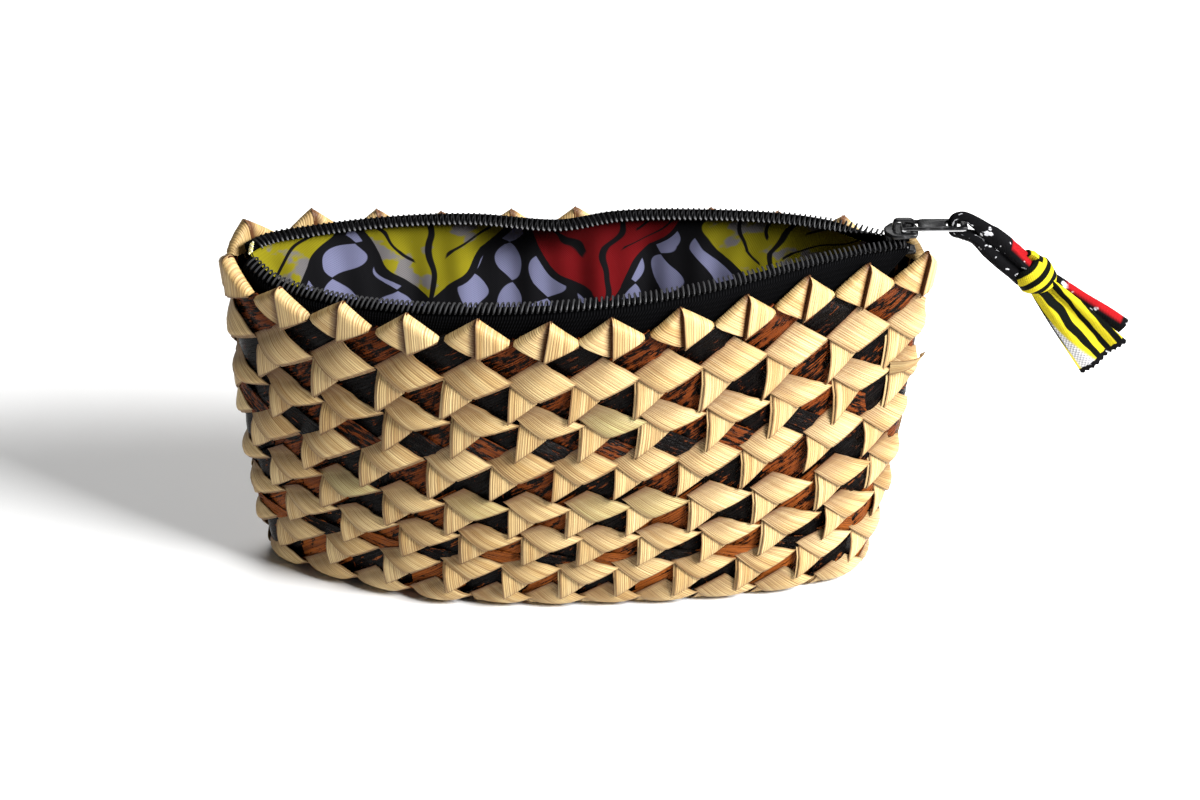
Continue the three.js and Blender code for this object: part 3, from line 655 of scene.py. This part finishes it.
def tape_lines(side, share, push=0.0):
    """Lines along the tape: sewn edge, bend, fold and free edge, with the way out of the mouth.
    push moves the standing part inwards."""
    low = wall_line(side, share, TAPE_LOW, TAPE_INSET + push)
    bend = wall_line(side, share, TAPE_BEND, TAPE_INSET + push)
    edge = evenly(smooth_line(COILS[side], 801), share)
    run = normed(np.gradient(edge, axis=0) * [1, 1, 0])
    out = np.stack([-run[:, 1], run[:, 0], 0 * share], 1) * (-1 if side == "front" else 1)
    near = ramp(edge[:, :1], 45, 68)
    drop, start, stop = FOLD_DROP[side]
    fold = edge + out * (FOLD_OUT + (FOLD_NEAR - FOLD_OUT) * near - 1.4 * push)
    fold = fold - [0, 0, 1] * (drop + (FOLD_END - drop) * ramp(edge[:, :1], start, stop))
    return low, bend, fold, edge, out


def thickened(points, half):
    """A grid of points (i, j, 3) in mm as a closed sheet in metres, half thick along its normals to
    either side: vertices and faces."""
    normal = normed(np.cross(np.gradient(points, axis=0), np.gradient(points, axis=1))) * half
    verts = np.stack([points + normal, points - normal]).reshape(-1, 3) * 0.001
    return verts, leaf_faces(*points.shape[:2], 1).tolist()


tape = Finish("zip_tape", {"Specular IOR Level": 0.0})
across, along = tape.lengths()
rib = (along * 9.5).wave() * ((across * 5.2).math("SINE") * 0.3 + 0.7)
fuzz = tape.noise(across * 2.0, along * 2.0, 0.0, 3.0)
colour = tape.mix((rib * 0.7 + fuzz * 0.4).clip(), (0.0005, 0.0005, 0.0006), (0.005, 0.005, 0.0055))
tape_finish = tape.done({"Base Color": colour, "Roughness": 0.62 + fuzz * 0.3,
                         "Normal": tape.bump(rib, 0.00022)})

# across the tape, three parts of straight lines through its corners to one of their Bezier curve
v = np.linspace(0, 1, TAPE_COLUMNS)
straight = between(np.eye(4), np.interp(v, [0, 0.4, 0.8, 1], [0, 1 / 3, 2 / 3, 1]))
curve = np.stack([(1 - v)**3, 3 * v * (1 - v)**2, 3 * v**2 * (1 - v), v**3], 1)
for side in ("front", "back"):
    share = np.linspace(0, 1, TAPE_ROWS)
    corners = np.stack(tape_lines(side, share)[:4], 1)
    section = np.einsum("vk,nkx->nvx", 0.75 * straight + 0.25 * curve, corners)
    width = measure(np.gradient(section[TAPE_ROWS // 2], axis=0)[:-1])
    tape_map = np.tile(map_of(width, share[:, None] * TAPE_LONG), (2, 1))
    if side == "back":
        section = section[::-1]
    made = piece(f"tape_{side}", *thickened(section, TAPE / 2), "purse", "zip_tape", tape_finish, tape_map)
    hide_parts(f"zip_tape_{side}")

# The coil is one nylon wire wound in flat loops, sewn along the tape's free edge. Its heads, on
# the inner side, carry a painted highlight as a row of dots, and the front coil's loops a faint
# painted glint along their tops.
PITCH, LOOP_W, LOOP_H, WIRE = 1.2, 1.45, 0.45, 0.22  # from loop to loop, half sizes, wire's radius
COIL_OUT, COIL_UP = 0.75, 0.45  # the coil's middle from the tape's edge, and the space below its loops
LOOP_STEPS, WIRE_SIDES, COIL_ROWS = 12, 6, 400
nylon = Finish("zip_nylon", {"Specular IOR Level": 0.14})
head_in = nylon.held("head")
grain = nylon.speckle(900.0, 2.0)
jet = nylon.mix(grain, (0.003, 0.003, 0.0035), (0.012, 0.012, 0.013))
# the base colour is lightened where the points hold the painted highlight
nylon_finish = nylon.done({"Base Color": nylon.mix(head_in * 0.6, jet, (0.3, 0.3, 0.31)),
                           "Roughness": 0.3 - head_in * 0.12 + grain * 0.14})


def capped(rings):
    """Vertices in metres and faces of a stack of rings in mm, with a flat face at both ends."""
    rows, columns = rings.shape[:2]
    ends = np.arange(rows * columns).reshape(rows, columns)
    quads = tube_faces(rows, columns, False).tolist()
    return rings.reshape(-1, 3) * 0.001, quads + [ends[0, ::-1].tolist(), ends[-1].tolist()]


def sweep(path, first, second, profile):
    """Closed tube in metres: a profile (s, 2) or (n, s, 2) in mm carried along a path in mm on its
    two cross directions, with flat ends. Its faces look outwards whichever way those turn."""
    first, second = np.broadcast_to(first, path.shape), np.broadcast_to(second, path.shape)
    rings = path[:, None] + first[:, None] * profile[..., :1] + second[:, None] * profile[..., 1:]
    verts, faces = capped(rings)
    outward = np.sum(np.cross(first, second) * np.gradient(path, axis=0)) > 0
    return verts, [face[::1 if outward else -1] for face in faces]


def angles(n):
    """n even angles of a full turn."""
    return np.arange(n) * 2 * np.pi / n


def oval(n, a, b):
    """n points round an ellipse of half sizes a and b."""
    return np.stack([a * np.cos(angles(n)), b * np.sin(angles(n))], -1)


def crosses(path):
    """Two directions across a path, the first as near upright as can be."""
    run = normed(np.gradient(path, axis=0))
    first = normed([0, 0, 1] - run * run[:, 2:])
    return first, np.cross(run, first)


for side in ("front", "back"):
    low, bend, fold, edge, out = tape_lines(side, np.linspace(0.01, 0.995, COIL_ROWS))
    slope = normed(fold - edge)
    up = np.cross(slope, np.cross([0, 0, 1], out))
    up *= np.sign(up[:, 2:])
    middle = edge + slope * COIL_OUT + up * (COIL_UP + LOOP_H)
    turns = int(measure(np.diff(middle, axis=0))[-1] / PITCH)
    phase = np.linspace(0, turns, turns * LOOP_STEPS + 1)
    a = phase[:, None] * 2 * np.pi
    middle, slope, up = (between(rows, phase / turns) for rows in (middle, slope, up))
    wire = middle + slope * LOOP_W * np.cos(a) + up * LOOP_H * np.sin(a)
    # painted highlight: on the back coil's heads, fading towards the slider, and faint on the top runs of
    # the front coil's loops
    if side == "back":
        painted_highlight_share = (1 - 0.85 * ramp(phase / turns, 0.7, 0.9)) * ramp(-np.cos(a[:, 0]), 0.75, 0.98)
    else:
        painted_highlight_share = 0.14 * ramp(np.sin(a[:, 0]), 0.2, 0.8)
    made = piece(f"coil_{side}", *sweep(wire, *crosses(wire), oval(WIRE_SIDES, WIRE, WIRE)), "purse",
                 "zip_coil", nylon_finish, head=np.repeat(painted_highlight_share, WIRE_SIDES))
    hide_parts(f"zip_coil_{side}")

# The lining is a cotton bag sewn in with the tapes. It hangs a little slack inside the plait, so
# it stands in soft upright folds below the zip. Its print is a plain one of large and small leaves.
LEAF_W, LEAF_H = 38.0, 66.0  # the print's large leaves, mm
SMALL_W, SMALL_H = 9.0, 15.0  # its small ones
LINING, LINING_PUSH = 0.45, 1.25  # the cloth's thickness, and its middle's place inside the tape's
FLOOR_Z = 2.9
RING_Z = [FLOOR_Z, 3.2, 4.1, 6.9, 11, 16, 22, 28, 33, 38, 43, 48, 52, 56, 60, 63, 66, 69, 72.0]
lining = Finish("lining_print", {"Specular IOR Level": 0.15})
across, along = lining.lengths()
bend_x = lining.noise(across * 0.06, along * 0.06, 3.0, 1.0) * 14.0
bend_y = lining.noise(across * 0.06, along * 0.06, 11.0, 1.0) * 14.0


def repeat(wire, size):
    """Distance to the nearest multiple of a size."""
    return wire.math("PINGPONG", size / 2)


def leaf_repeat(shift_x, shift_y, wide, high, full):
    """Pointed leaves in a repeat: how far inside a leaf the cloth is, its distance from the midrib,
    and its place. A leaf's half width falls from its middle with the square of the distance."""
    x, y = across + bend_x + shift_x, along + bend_y + shift_y
    from_rib, from_middle = repeat(x, wide), repeat(y, high)
    inside = (1 - (from_middle / (high / 2)) ** 2) * (wide * full) - from_rib
    return inside, from_rib, x, y


ground = (0.002, 0.002, 0.003)
cloud = lining.noise(across * 0.13, along * 0.13, 7.0, 3.0).over(0.56, 0.05)
yellow = lining.mix(cloud * 0.85, (0.22, 0.19, 0.005), (0.13, 0.125, 0.16))
inside, from_rib, x, y = leaf_repeat(8.0, 24.0, LEAF_W, LEAF_H, 0.5)
veins = (0.6 - repeat(y - from_rib * 1.1, 9.0)).over(0.0, 0.2) * from_rib.over(3.2, 0.4)
veins = (veins + (0.7 - from_rib).over(0.0, 0.2)).clip()
column = (x / LEAF_W + 0.5).math("FLOOR")
every_third = ((column + 30.0) / 3.0).math("FRACT").over(0.5, 0.05)
fill = lining.mix(every_third, yellow, (0.13, 0.0015, 0.003))
fill = lining.mix(veins, fill, ground)
small = leaf_repeat(2.0, along * 0.5 - across * 0.6, SMALL_W, SMALL_H, 0.4)[0]
behind = lining.mix(small.over(0.3, 0.2), ground, (0.14, 0.145, 0.24))
colour = lining.mix(inside.over(-1.5, 0.2), behind, lining.mix(inside.over(1.0, 0.2), ground, fill))
thread = (across * 12.0).math("SINE") * (along * 12.0).math("SINE") * 0.5 + 0.5
lining_finish = lining.done({"Base Color": colour, "Roughness": 0.85 + thread * 0.1,
                             "Normal": lining.bump(thread, 0.00008)})


def loop_of(back, front):
    """One loop over the back from the slider end to the left end and along the front again."""
    return np.concatenate([back[::-1], front])


share = np.linspace(0, 1, 130)
ring_in = np.interp(RING_Z, [FLOOR_Z, 4.1, 6.9, 22, 38, 54, 63, 72],
                    [4.0, 1.4, 0.2, -0.8, -1.0, -0.6, -0.2, 0.0]) + TAPE_INSET + LINING_PUSH
rings = [loop_of(*(wall_line(side, share, z, inset) for side in ("back", "front")))
         for z, inset in zip(RING_Z, ring_in)]
lines = [tape_lines(side, share, LINING_PUSH) for side in ("back", "front")]
for climbed in (0.3, 0.55, 0.8):
    rings.append(loop_of(*(bend + (fold - bend) * climbed for low, bend, fold, edge, out in lines)))
seam = rings[0] * [BASE_SHORT, 0, 1] + [0, BASE_Y, 0]
bag = np.stack([rings[0] + (seam - rings[0]) * g for g in (1.0, 0.8, 0.55, 0.25)] + rings)
run = measure(np.diff(bag[15], axis=0))
rise = measure(np.diff(bag[:, 60], axis=0))[:, None]
inner = normed([0, BASE_Y, 0] - bag * [0, 1, 0])
hang = ramp(bag[..., 2], 8, 45) * (1 - 0.85 * ramp(bag[..., 2], 70, 79))
slack = np.sin(run * 0.21 + 0.8) + 0.7 * np.sin(run * 0.37 + rise * 0.04 + 2)
slack = slack + 0.4 * np.sin(run * 0.83 - rise * 0.07)
bag = bag + inner * ((slack + 1.3) * 0.75 * hang)[..., None]
upward = 1 - ramp(bag[..., 2:], FLOOR_Z, 8)
through = normed(inner * (1 - upward) + upward * [0, 0, 1]) * LINING / 2
loops = np.concatenate([bag - through, (bag + through)[::-1]])
made = piece("lining_cloth", loops.reshape(-1, 3) * 0.001, tube_faces(*loops.shape[:2], True), "purse",
             "lining_cloth", lining_finish, map_of(run, np.r_[rise, rise[::-1]]))
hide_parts("lining")

# The slider is die-cast zinc under black lacquer: two wings over and under the coils, joined by a
# post, with a bail on top that holds the tab's pin.
WING = [(70.5, -1.2), (72.4, -3.7), (77.6, -2.9), (78.1, -1.6), (78.1, 1.6), (77.6, 2.9), (72.4, 3.7),
        (70.5, 1.2)]
LOWER_WING = [(70.7, -1.7), (77.7, -1.7), (77.7, 1.7), (70.7, 1.7)]
POST = [(70.7, -0.7), (72.2, -0.6), (72.2, 0.6), (70.7, 0.7)]
PLATES = (  # corners, steps and cut at each of them, then lower face, upper face and rounding
    (WING, 8, 0.25, 84.7, 85.6, 0.4),
    (LOWER_WING, 8, 0.12, 80.2, 81.0, 0.3),
    (POST, 6, 0.3, 80.6, 85.0, 0.1),
)
BAIL_THICK, BAIL_WIDE = 0.4, 0.85  # half sizes of the bail's wire
BAIL = np.array([(72.7, 0, 85.2), (72.7, 0, 86.9), (72.9, 0, 87.6), (73.5, 0, 87.85), (76.1, 0, 87.85),
                 (76.7, 0, 87.6), (76.9, 0, 86.9), (76.9, 0, 85.2)])
lacquer = Finish("black_lacquer", {"Specular IOR Level": 0.2, "Coat Weight": 0.1, "Coat Roughness": 0.06})
# painted highlight: a light line along the tab's lower front edge, where the points hold it
worn = lacquer.held("worn").over(0.72, 0.2)
scuff = lacquer.speckle(700.0, 4.0)
coat = lacquer.mix(scuff.over(0.66, 0.2), (0.003, 0.003, 0.0035), (0.05, 0.05, 0.052))
lacquer_finish = lacquer.done({"Base Color": lacquer.mix(worn * 0.75, coat, (0.5, 0.5, 0.51)),
                               "Roughness": 0.22 + scuff * 0.2, "Normal": lacquer.bump(scuff, 0.00006)})


def plate(loop, low, high, edge):
    """Closed plate from a plan loop (n, 2): its rim is rounded by edge, and both faces have a ring
    further in, 0.55 of the way to the loop's middle."""
    reach = loop - loop.mean(0)
    size = np.linalg.norm(reach, axis=1, keepdims=True)
    inner, soft = 0.55 * size, 0.3 * edge
    levels = ((inner, low), (soft, low), (0, low + edge), (0, high - edge), (soft, high - soft),
              (edge, high), (inner, high))
    return capped(np.stack([at_height(loop - reach / size * inset, z) for inset, z in levels]))


def together(*shells):
    """Several closed shells as one list of vertices and faces."""
    faces, base = [], 0
    for verts, quads in shells:
        faces += [[base + i for i in quad] for quad in quads]
        base += len(verts)
    return np.concatenate([verts for verts, quads in shells]), faces


def rounded(corners, steps, cut):
    """Loop through a corner list, with each corner cut and rounded by a quadratic curve."""
    corners = np.array(corners, float)
    before, after = np.roll(corners, 1, 0), np.roll(corners, -1, 0)
    t = np.linspace(0, 1, steps)[None, :, None]
    a = (corners + (before - corners) * cut)[:, None]
    b = (corners + (after - corners) * cut)[:, None]
    return ((1 - t)**2 * a + 2 * t * (1 - t) * corners[:, None] + t**2 * b).reshape(-1, 2)


bail = evenly(BAIL, np.linspace(0, 1, 30))
bail_out = normed(np.cross(np.gradient(bail, axis=0), [0, 1, 0]))
shells = [plate(rounded(corners, steps, cut), low, high, edge)
          for corners, steps, cut, low, high, edge in PLATES]
shells.append(sweep(bail, bail_out, [0, 1, 0], oval(10, BAIL_THICK, BAIL_WIDE)))
made = piece("slider", *together(*shells), "purse", "zip_metal", lacquer_finish)
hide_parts("zip_slider")

# The tab swings on a pin under the bail. It is a flat stamped bar with a fork at one end, and an
# eye at the other that the cloth strip goes through. Its lower front edge has a painted highlight.
PIN_X, PIN_Z, PIN_HALF = 74.8, 86.45, 2.2
BLADE = [(78.0, -2.3), (88.9, -2.3), (88.9, 2.3), (78.0, 2.3)]
EYE = [(84.2, -1.5), (87.4, -1.5), (87.4, 1.5), (84.2, 1.5)]
BLADE_LOW, BLADE_HIGH, BLADE_EDGE = 85.95, 86.95, 0.18
ARM_Y, ARM_R, PIN_R = 1.78, 0.5, 0.55
PAINTED_EDGE_HIGHLIGHT_TOP, PAINTED_EDGE_HIGHLIGHT_FADE, PAINTED_EDGE_HIGHLIGHT_FRONT = 0.08675, 0.0006, -0.0021  # in m: where the painted highlight ends, fades and starts


def ring_plate(outer, hole, low, high, edge):
    """Closed plate with a hole, from two loops of equal length and a rounded rim on both."""
    way = normed(hole - outer)
    steps = ((edge, low), (0, low + edge), (0, high - edge), (edge, high))
    rings = [at_height(outer + way * inset, z) for inset, z in steps]
    rings += [at_height(hole - way * inset, z) for inset, z in steps[::-1]]
    return np.stack(rings).reshape(-1, 3) * 0.001, tube_faces(len(rings), len(outer), True).tolist()


blade = ring_plate(rounded(BLADE, 12, 0.16), rounded(EYE, 12, 0.3), BLADE_LOW, BLADE_HIGH, BLADE_EDGE)
arms = [sweep(np.array([(PIN_X, y, PIN_Z), (76.5, y, PIN_Z), (79.5, y * 0.97, PIN_Z)]), [0, 0, 1],
              [0, -1, 0], oval(10, ARM_R, ARM_R)) for y in (-ARM_Y, ARM_Y)]
pin = sweep(np.array([(PIN_X, y, PIN_Z) for y in (-PIN_HALF, 0, PIN_HALF)]), [0, 0, 1], [1, 0, 0],
            oval(12, PIN_R, PIN_R))
verts, faces = together(blade, *arms, pin)
# the painted highlight's share on each point: below its top and at the front
painted_edge_highlight_share = np.clip((PAINTED_EDGE_HIGHLIGHT_TOP - verts[:, 2]) / PAINTED_EDGE_HIGHLIGHT_FADE, 0, 1) * (verts[:, 1] < PAINTED_EDGE_HIGHLIGHT_FRONT)
made = piece("tab", verts, faces, "pull", "zip_metal", lacquer_finish, worn=painted_edge_highlight_share)
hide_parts("pull_tab")

# The pull is a strip of printed cotton, drawn through the tab's eye, tied in an overhand knot and
# cut with pinking shears. Its print is plain stripes and dabs.
STRAND = np.array([  # the strip's middle line from the knot through the eye and back: x, z, thick, wide
    (103, 76.2, 3.8, 5.4), (98.5, 80.6, 4.0, 5.6), (94, 84.4, 4.2, 5.2), (90.6, 87.2, 4.4, 4.4),
    (88, 88.7, 3.0, 3.0), (86.1, 88.2, 2.0, 2.3), (85.7, 86.4, 2.0, 2.3), (86.1, 84.7, 2.0, 2.3),
    (88, 84.1, 3.0, 3.0), (90.6, 83.4, 4.4, 4.4), (93.6, 81.0, 4.2, 5.2), (97.6, 77.4, 4.0, 5.6),
    (102, 73.4, 3.8, 5.4),
])
STRAND_ROWS, KNOT_ROWS, ROLL_ROWS = 120, 70, 40
KNOT = np.array([104.2, 0, 74.2])  # the knot's middle
KNOT_AXIS, KNOT_SIDE = np.array([0.62, 0, -0.785]), np.array([0.785, 0, 0.62])
KNOT_THICK, KNOT_WIDE, KNOT_TURNS = 2.1, 3.7, 1.4  # half sizes of the strip in the knot, and turns
ROLL = [(105.2, 1.0, 74.0), (111, 1.6, 70.0), (118, 1.8, 65.2), (125.6, 1.7, 60.0)]  # the narrow tail
ROLL_HIGH, ROLL_WIDE = 1.75, 1.5
TAIL_START, TAIL_END = np.array([105.5, 72.6]), np.array([121.6, 53.4])  # the wide tail: x, z
TAIL_HALF, TAIL_Y, TAIL_CLOTH = (2.6, 6.3), -1.4, 0.6  # half widths at its ends, place, thickness
TAIL_FOLDS, TAIL_DEPTH, TAIL_TEETH, TOOTH = 1.6, 0.9, 5, 1.3
TAIL_ROWS, TAIL_COLUMNS = 26, 33
cloth = Finish("pull_print", {"Specular IOR Level": 0.04})
across, along = cloth.lengths()
kind, red_in, pale_in = cloth.held("sort"), cloth.held("tone"), cloth.held("edge")
wobble = cloth.noise(across * 0.12, along * 0.07, 2.0)
bar = (across * 2.1 + wobble * 7).wave().over(0.58, 0.12)
fleck = cloth.noise(across * 0.5 + 5, along * 0.34, 4.0).over(0.63, 0.04)
net = ((across * 7.0).math("SINE") * (along * 7.0).math("SINE")).over(0.0, 0.6)
yellow = cloth.mix(bar, (0.45, 0.375, 0.014), (0.002, 0.003, 0.002))
yellow = cloth.mix(pale_in, yellow, cloth.mix(net, (0.28, 0.28, 0.30), (0.62, 0.62, 0.62)))
dark = cloth.mix(fleck, (0.003, 0.003, 0.0035), (0.5, 0.5, 0.52))
colour = cloth.mix(kind.over(0.5, 0.1), dark, yellow)
colour = cloth.mix(red_in, colour, (0.25, 0.006, 0.008))
thread = (across * 14.0).math("SINE") * (along * 14.0).math("SINE") * 0.5 + 0.5
cloth_finish = cloth.done({"Base Color": colour, "Roughness": 0.75 + thread * 0.1,
                           "Normal": cloth.bump(thread, 0.0001)})

# the strand through the eye, creased along its length, with a red stripe towards the knot
path = smooth_line([(x, 0, z) for x, z, thick, wide in STRAND], STRAND_ROWS)
grow = np.linspace(0, len(STRAND) - 1, STRAND_ROWS)[:, None]
half_thick, half_wide = between(STRAND[:, 2:] / 2, np.linspace(0, 1, STRAND_ROWS)).T[..., None]
a = angles(20)
crease = 1 + 0.09 * np.sin(3 * a + grow * 0.8) + 0.05 * np.sin(7 * a - grow * 1.3)
profile = oval(20, half_thick, half_wide) * crease[..., None]
strand = sweep(path, np.cross(normed(np.gradient(path, axis=0)), [0, 1, 0]), [0, 1, 0], profile)
strand_map = map_of(np.abs(a - np.pi) * 2.2, grow * 4.5)
stripe = ((np.cos(a - 3.45) > 0.8) & (grow < 1.9)).ravel().astype(float)

# the knot, a strip wound round its axis with a growing radius
spin = np.linspace(-0.4, 2 * np.pi * KNOT_TURNS - 0.4, KNOT_ROWS)[:, None]
radial = KNOT_SIDE * np.cos(spin) + [0, 1, 0] * np.sin(spin)
path = KNOT + KNOT_AXIS * np.linspace(-1.5, 1.5, KNOT_ROWS)[:, None]
path = path + radial * np.linspace(1.9, 2.7, KNOT_ROWS)[:, None]
a = angles(16)
pleat = 1 + 0.08 * np.sin(5 * a + spin * 1.5)
profile = oval(16, KNOT_THICK, KNOT_WIDE) * pleat[..., None]
knot = sweep(path, radial, KNOT_AXIS, profile)
knot_map = map_of(np.sin(a) * KNOT_WIDE + spin * 0.5, spin * 3)

# the wide tail widens to its pinked end and stands in folds, with a pale wedge and a dark end
grid_t = np.meshgrid(np.linspace(0, 1, TAIL_ROWS), np.linspace(-1, 1, TAIL_COLUMNS), indexing="ij")
along_t, across_t = grid_t
way = normed(TAIL_END - TAIL_START)
teeth = np.abs((across_t * TAIL_TEETH) % 1 - 0.5) * TOOTH * ramp(along_t, 0.9, 1.0)
reach = along_t * np.linalg.norm(TAIL_END - TAIL_START) - teeth
half = TAIL_HALF[0] + (TAIL_HALF[1] - TAIL_HALF[0]) * along_t ** 0.8
flat = TAIL_START + way * reach[..., None] + [-way[1], way[0]] * (across_t * half)[..., None]
wave = TAIL_DEPTH * np.sin(across_t * np.pi * TAIL_FOLDS + 0.5) * (1.15 - 0.6 * along_t)
deep = TAIL_Y + wave + 0.8 * np.sin(along_t * 2.4) * across_t
wide_tail = thickened(np.stack([flat[..., 0], deep, flat[..., 1]], -1), TAIL_CLOTH / 2)
wide_map = np.tile(map_of(across_t * half, reach), (2, 1))
wide_run, wide_side = (np.tile(values.ravel(), 2) for values in grid_t)
wedge = ramp(-0.9 + (wide_run - 0.3) - wide_side, 0, 0.1) * ramp(wide_side, -0.95, -0.85)

# the narrow tail is rolled up, red on top
path = smooth_line(ROLL, ROLL_ROWS)
a = angles(14)
row = np.arange(ROLL_ROWS)[:, None]
girth = 1 + 0.12 * np.sin(2 * a + 1) + 0.06 * np.sin(4 * a + row * 0.25)
profile = oval(14, ROLL_HIGH, ROLL_WIDE) * girth[..., None]
narrow_tail = sweep(path, *crosses(path), profile)
narrow_map = map_of(a * 1.4, row * 0.62)
narrow_red = (ramp(np.cos(a + 0.5), -0.1, 0.15) * ramp(row, 10, 13) * (1 - ramp(row, 36, 37))).ravel()
shells = (strand, knot, wide_tail, narrow_tail)
blank = [np.zeros(len(verts)) for verts, faces in shells]
made = piece("knotted_strip", *together(*shells), "pull", "pull_cloth", cloth_finish,
             np.concatenate([strand_map, knot_map, wide_map, narrow_map]),
             sort=np.concatenate([blank[0], blank[1] + 1, 1 - ramp(wide_run, 0.92, 0.95), blank[3]]),
             tone=np.concatenate([stripe, blank[1], blank[2], narrow_red]),
             edge=np.concatenate([blank[0], blank[1], wedge, blank[3]]))
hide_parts("cloth_pull")

# A few stitches hold the two tapes together at the left end of the mouth. They are sewn by hand in
# a zigzag of pale cotton thread.
STITCHES, STITCH_ROWS, THREAD_SIDES, THREAD_R = 10, 120, 6, 0.22
STITCH_START, STITCH_STEP, STITCH_SWING = (-69.9, -2.4, 81.4), (0, 0.55, 0), (0.7, 0, 0.5)  # x, y, z
thread = Finish("stitch_thread", {"Roughness": 0.6})
across, along = thread.lengths()
ply = (along * 6.0 + across * 2.0).wave()
thread_finish = thread.done({"Base Color": thread.mix(ply, (0.55, 0.48, 0.12), (0.72, 0.68, 0.5)),
                             "Normal": thread.bump(ply, 0.0001)})
n = np.arange(STITCHES)[:, None]
zigzag = smooth_line(STITCH_START + n * STITCH_STEP + n % 2 * STITCH_SWING, STITCH_ROWS)
thread_map = map_of(np.arange(THREAD_SIDES) * 0.3, np.arange(STITCH_ROWS)[:, None] * 0.1)
piece("end_stitches", *sweep(zigzag, *crosses(zigzag), oval(THREAD_SIDES, THREAD_R, THREAD_R)), "purse",
      "lining_cloth", thread_finish, thread_map)

# The purse stands on a plain pale floor in soft light that comes mainly from the right. The camera
# looks down on it at the photograph's angle.
FLOOR = 3.0  # half the floor's side, m
# the lights: name, place, side in m and power in W
LIGHTS = (("key", (0.62, -0.36, 0.56), 0.36, 24.0), ("back", (0.16, 0.62, 0.85), 0.8, 8.0))
AMBIENT = 0.06
CAMERA_AT, CAMERA_TO, SENSOR, LENS = (0.0, -0.6928, 0.44), (0.0077, 0.001, 0.0418), 36.0, 105.5
LIT = (0.0, 0.0, 0.04)  # what the lights are turned to
paper = Finish("pale_floor", {"Base Color": (0.86, 0.86, 0.855, 1.0), "Roughness": 0.9})
mesh = bpy.data.meshes.new("floor")
mesh.from_pydata([(-FLOOR, -FLOOR, 0), (FLOOR, -FLOOR, 0), (FLOOR, FLOOR, 0), (-FLOOR, FLOOR, 0)], [],
                 [[0, 1, 2, 3]])
mesh.materials.append(paper.material)
floor = bpy.data.objects.new("floor", mesh)
bpy.context.scene.collection.objects.link(floor)

world = bpy.data.worlds.new("studio")
world.use_nodes = True
world.node_tree.nodes["Background"].inputs["Color"].default_value = (1, 1, 1, 1)
world.node_tree.nodes["Background"].inputs["Strength"].default_value = AMBIENT
bpy.context.scene.world = world
bpy.context.scene.view_settings.view_transform = "Standard"


def aim(thing, place, target):
    """Turns an object at place so that it looks along its -Z at target, with +Y upwards."""
    thing.location = place
    thing.rotation_euler = (Vector(target) - Vector(place)).to_track_quat("-Z", "Y").to_euler()
    bpy.context.scene.collection.objects.link(thing)


for name, place, size, power in LIGHTS:
    light = bpy.data.lights.new(name, "AREA")
    light.size = size
    light.energy = power
    aim(bpy.data.objects.new(name, light), place, LIT)

camera = bpy.data.cameras.new("camera")
camera.sensor_width = SENSOR
camera.lens = LENS
camera_object = bpy.data.objects.new("camera", camera)
aim(camera_object, CAMERA_AT, CAMERA_TO)
bpy.context.scene.camera = camera_object
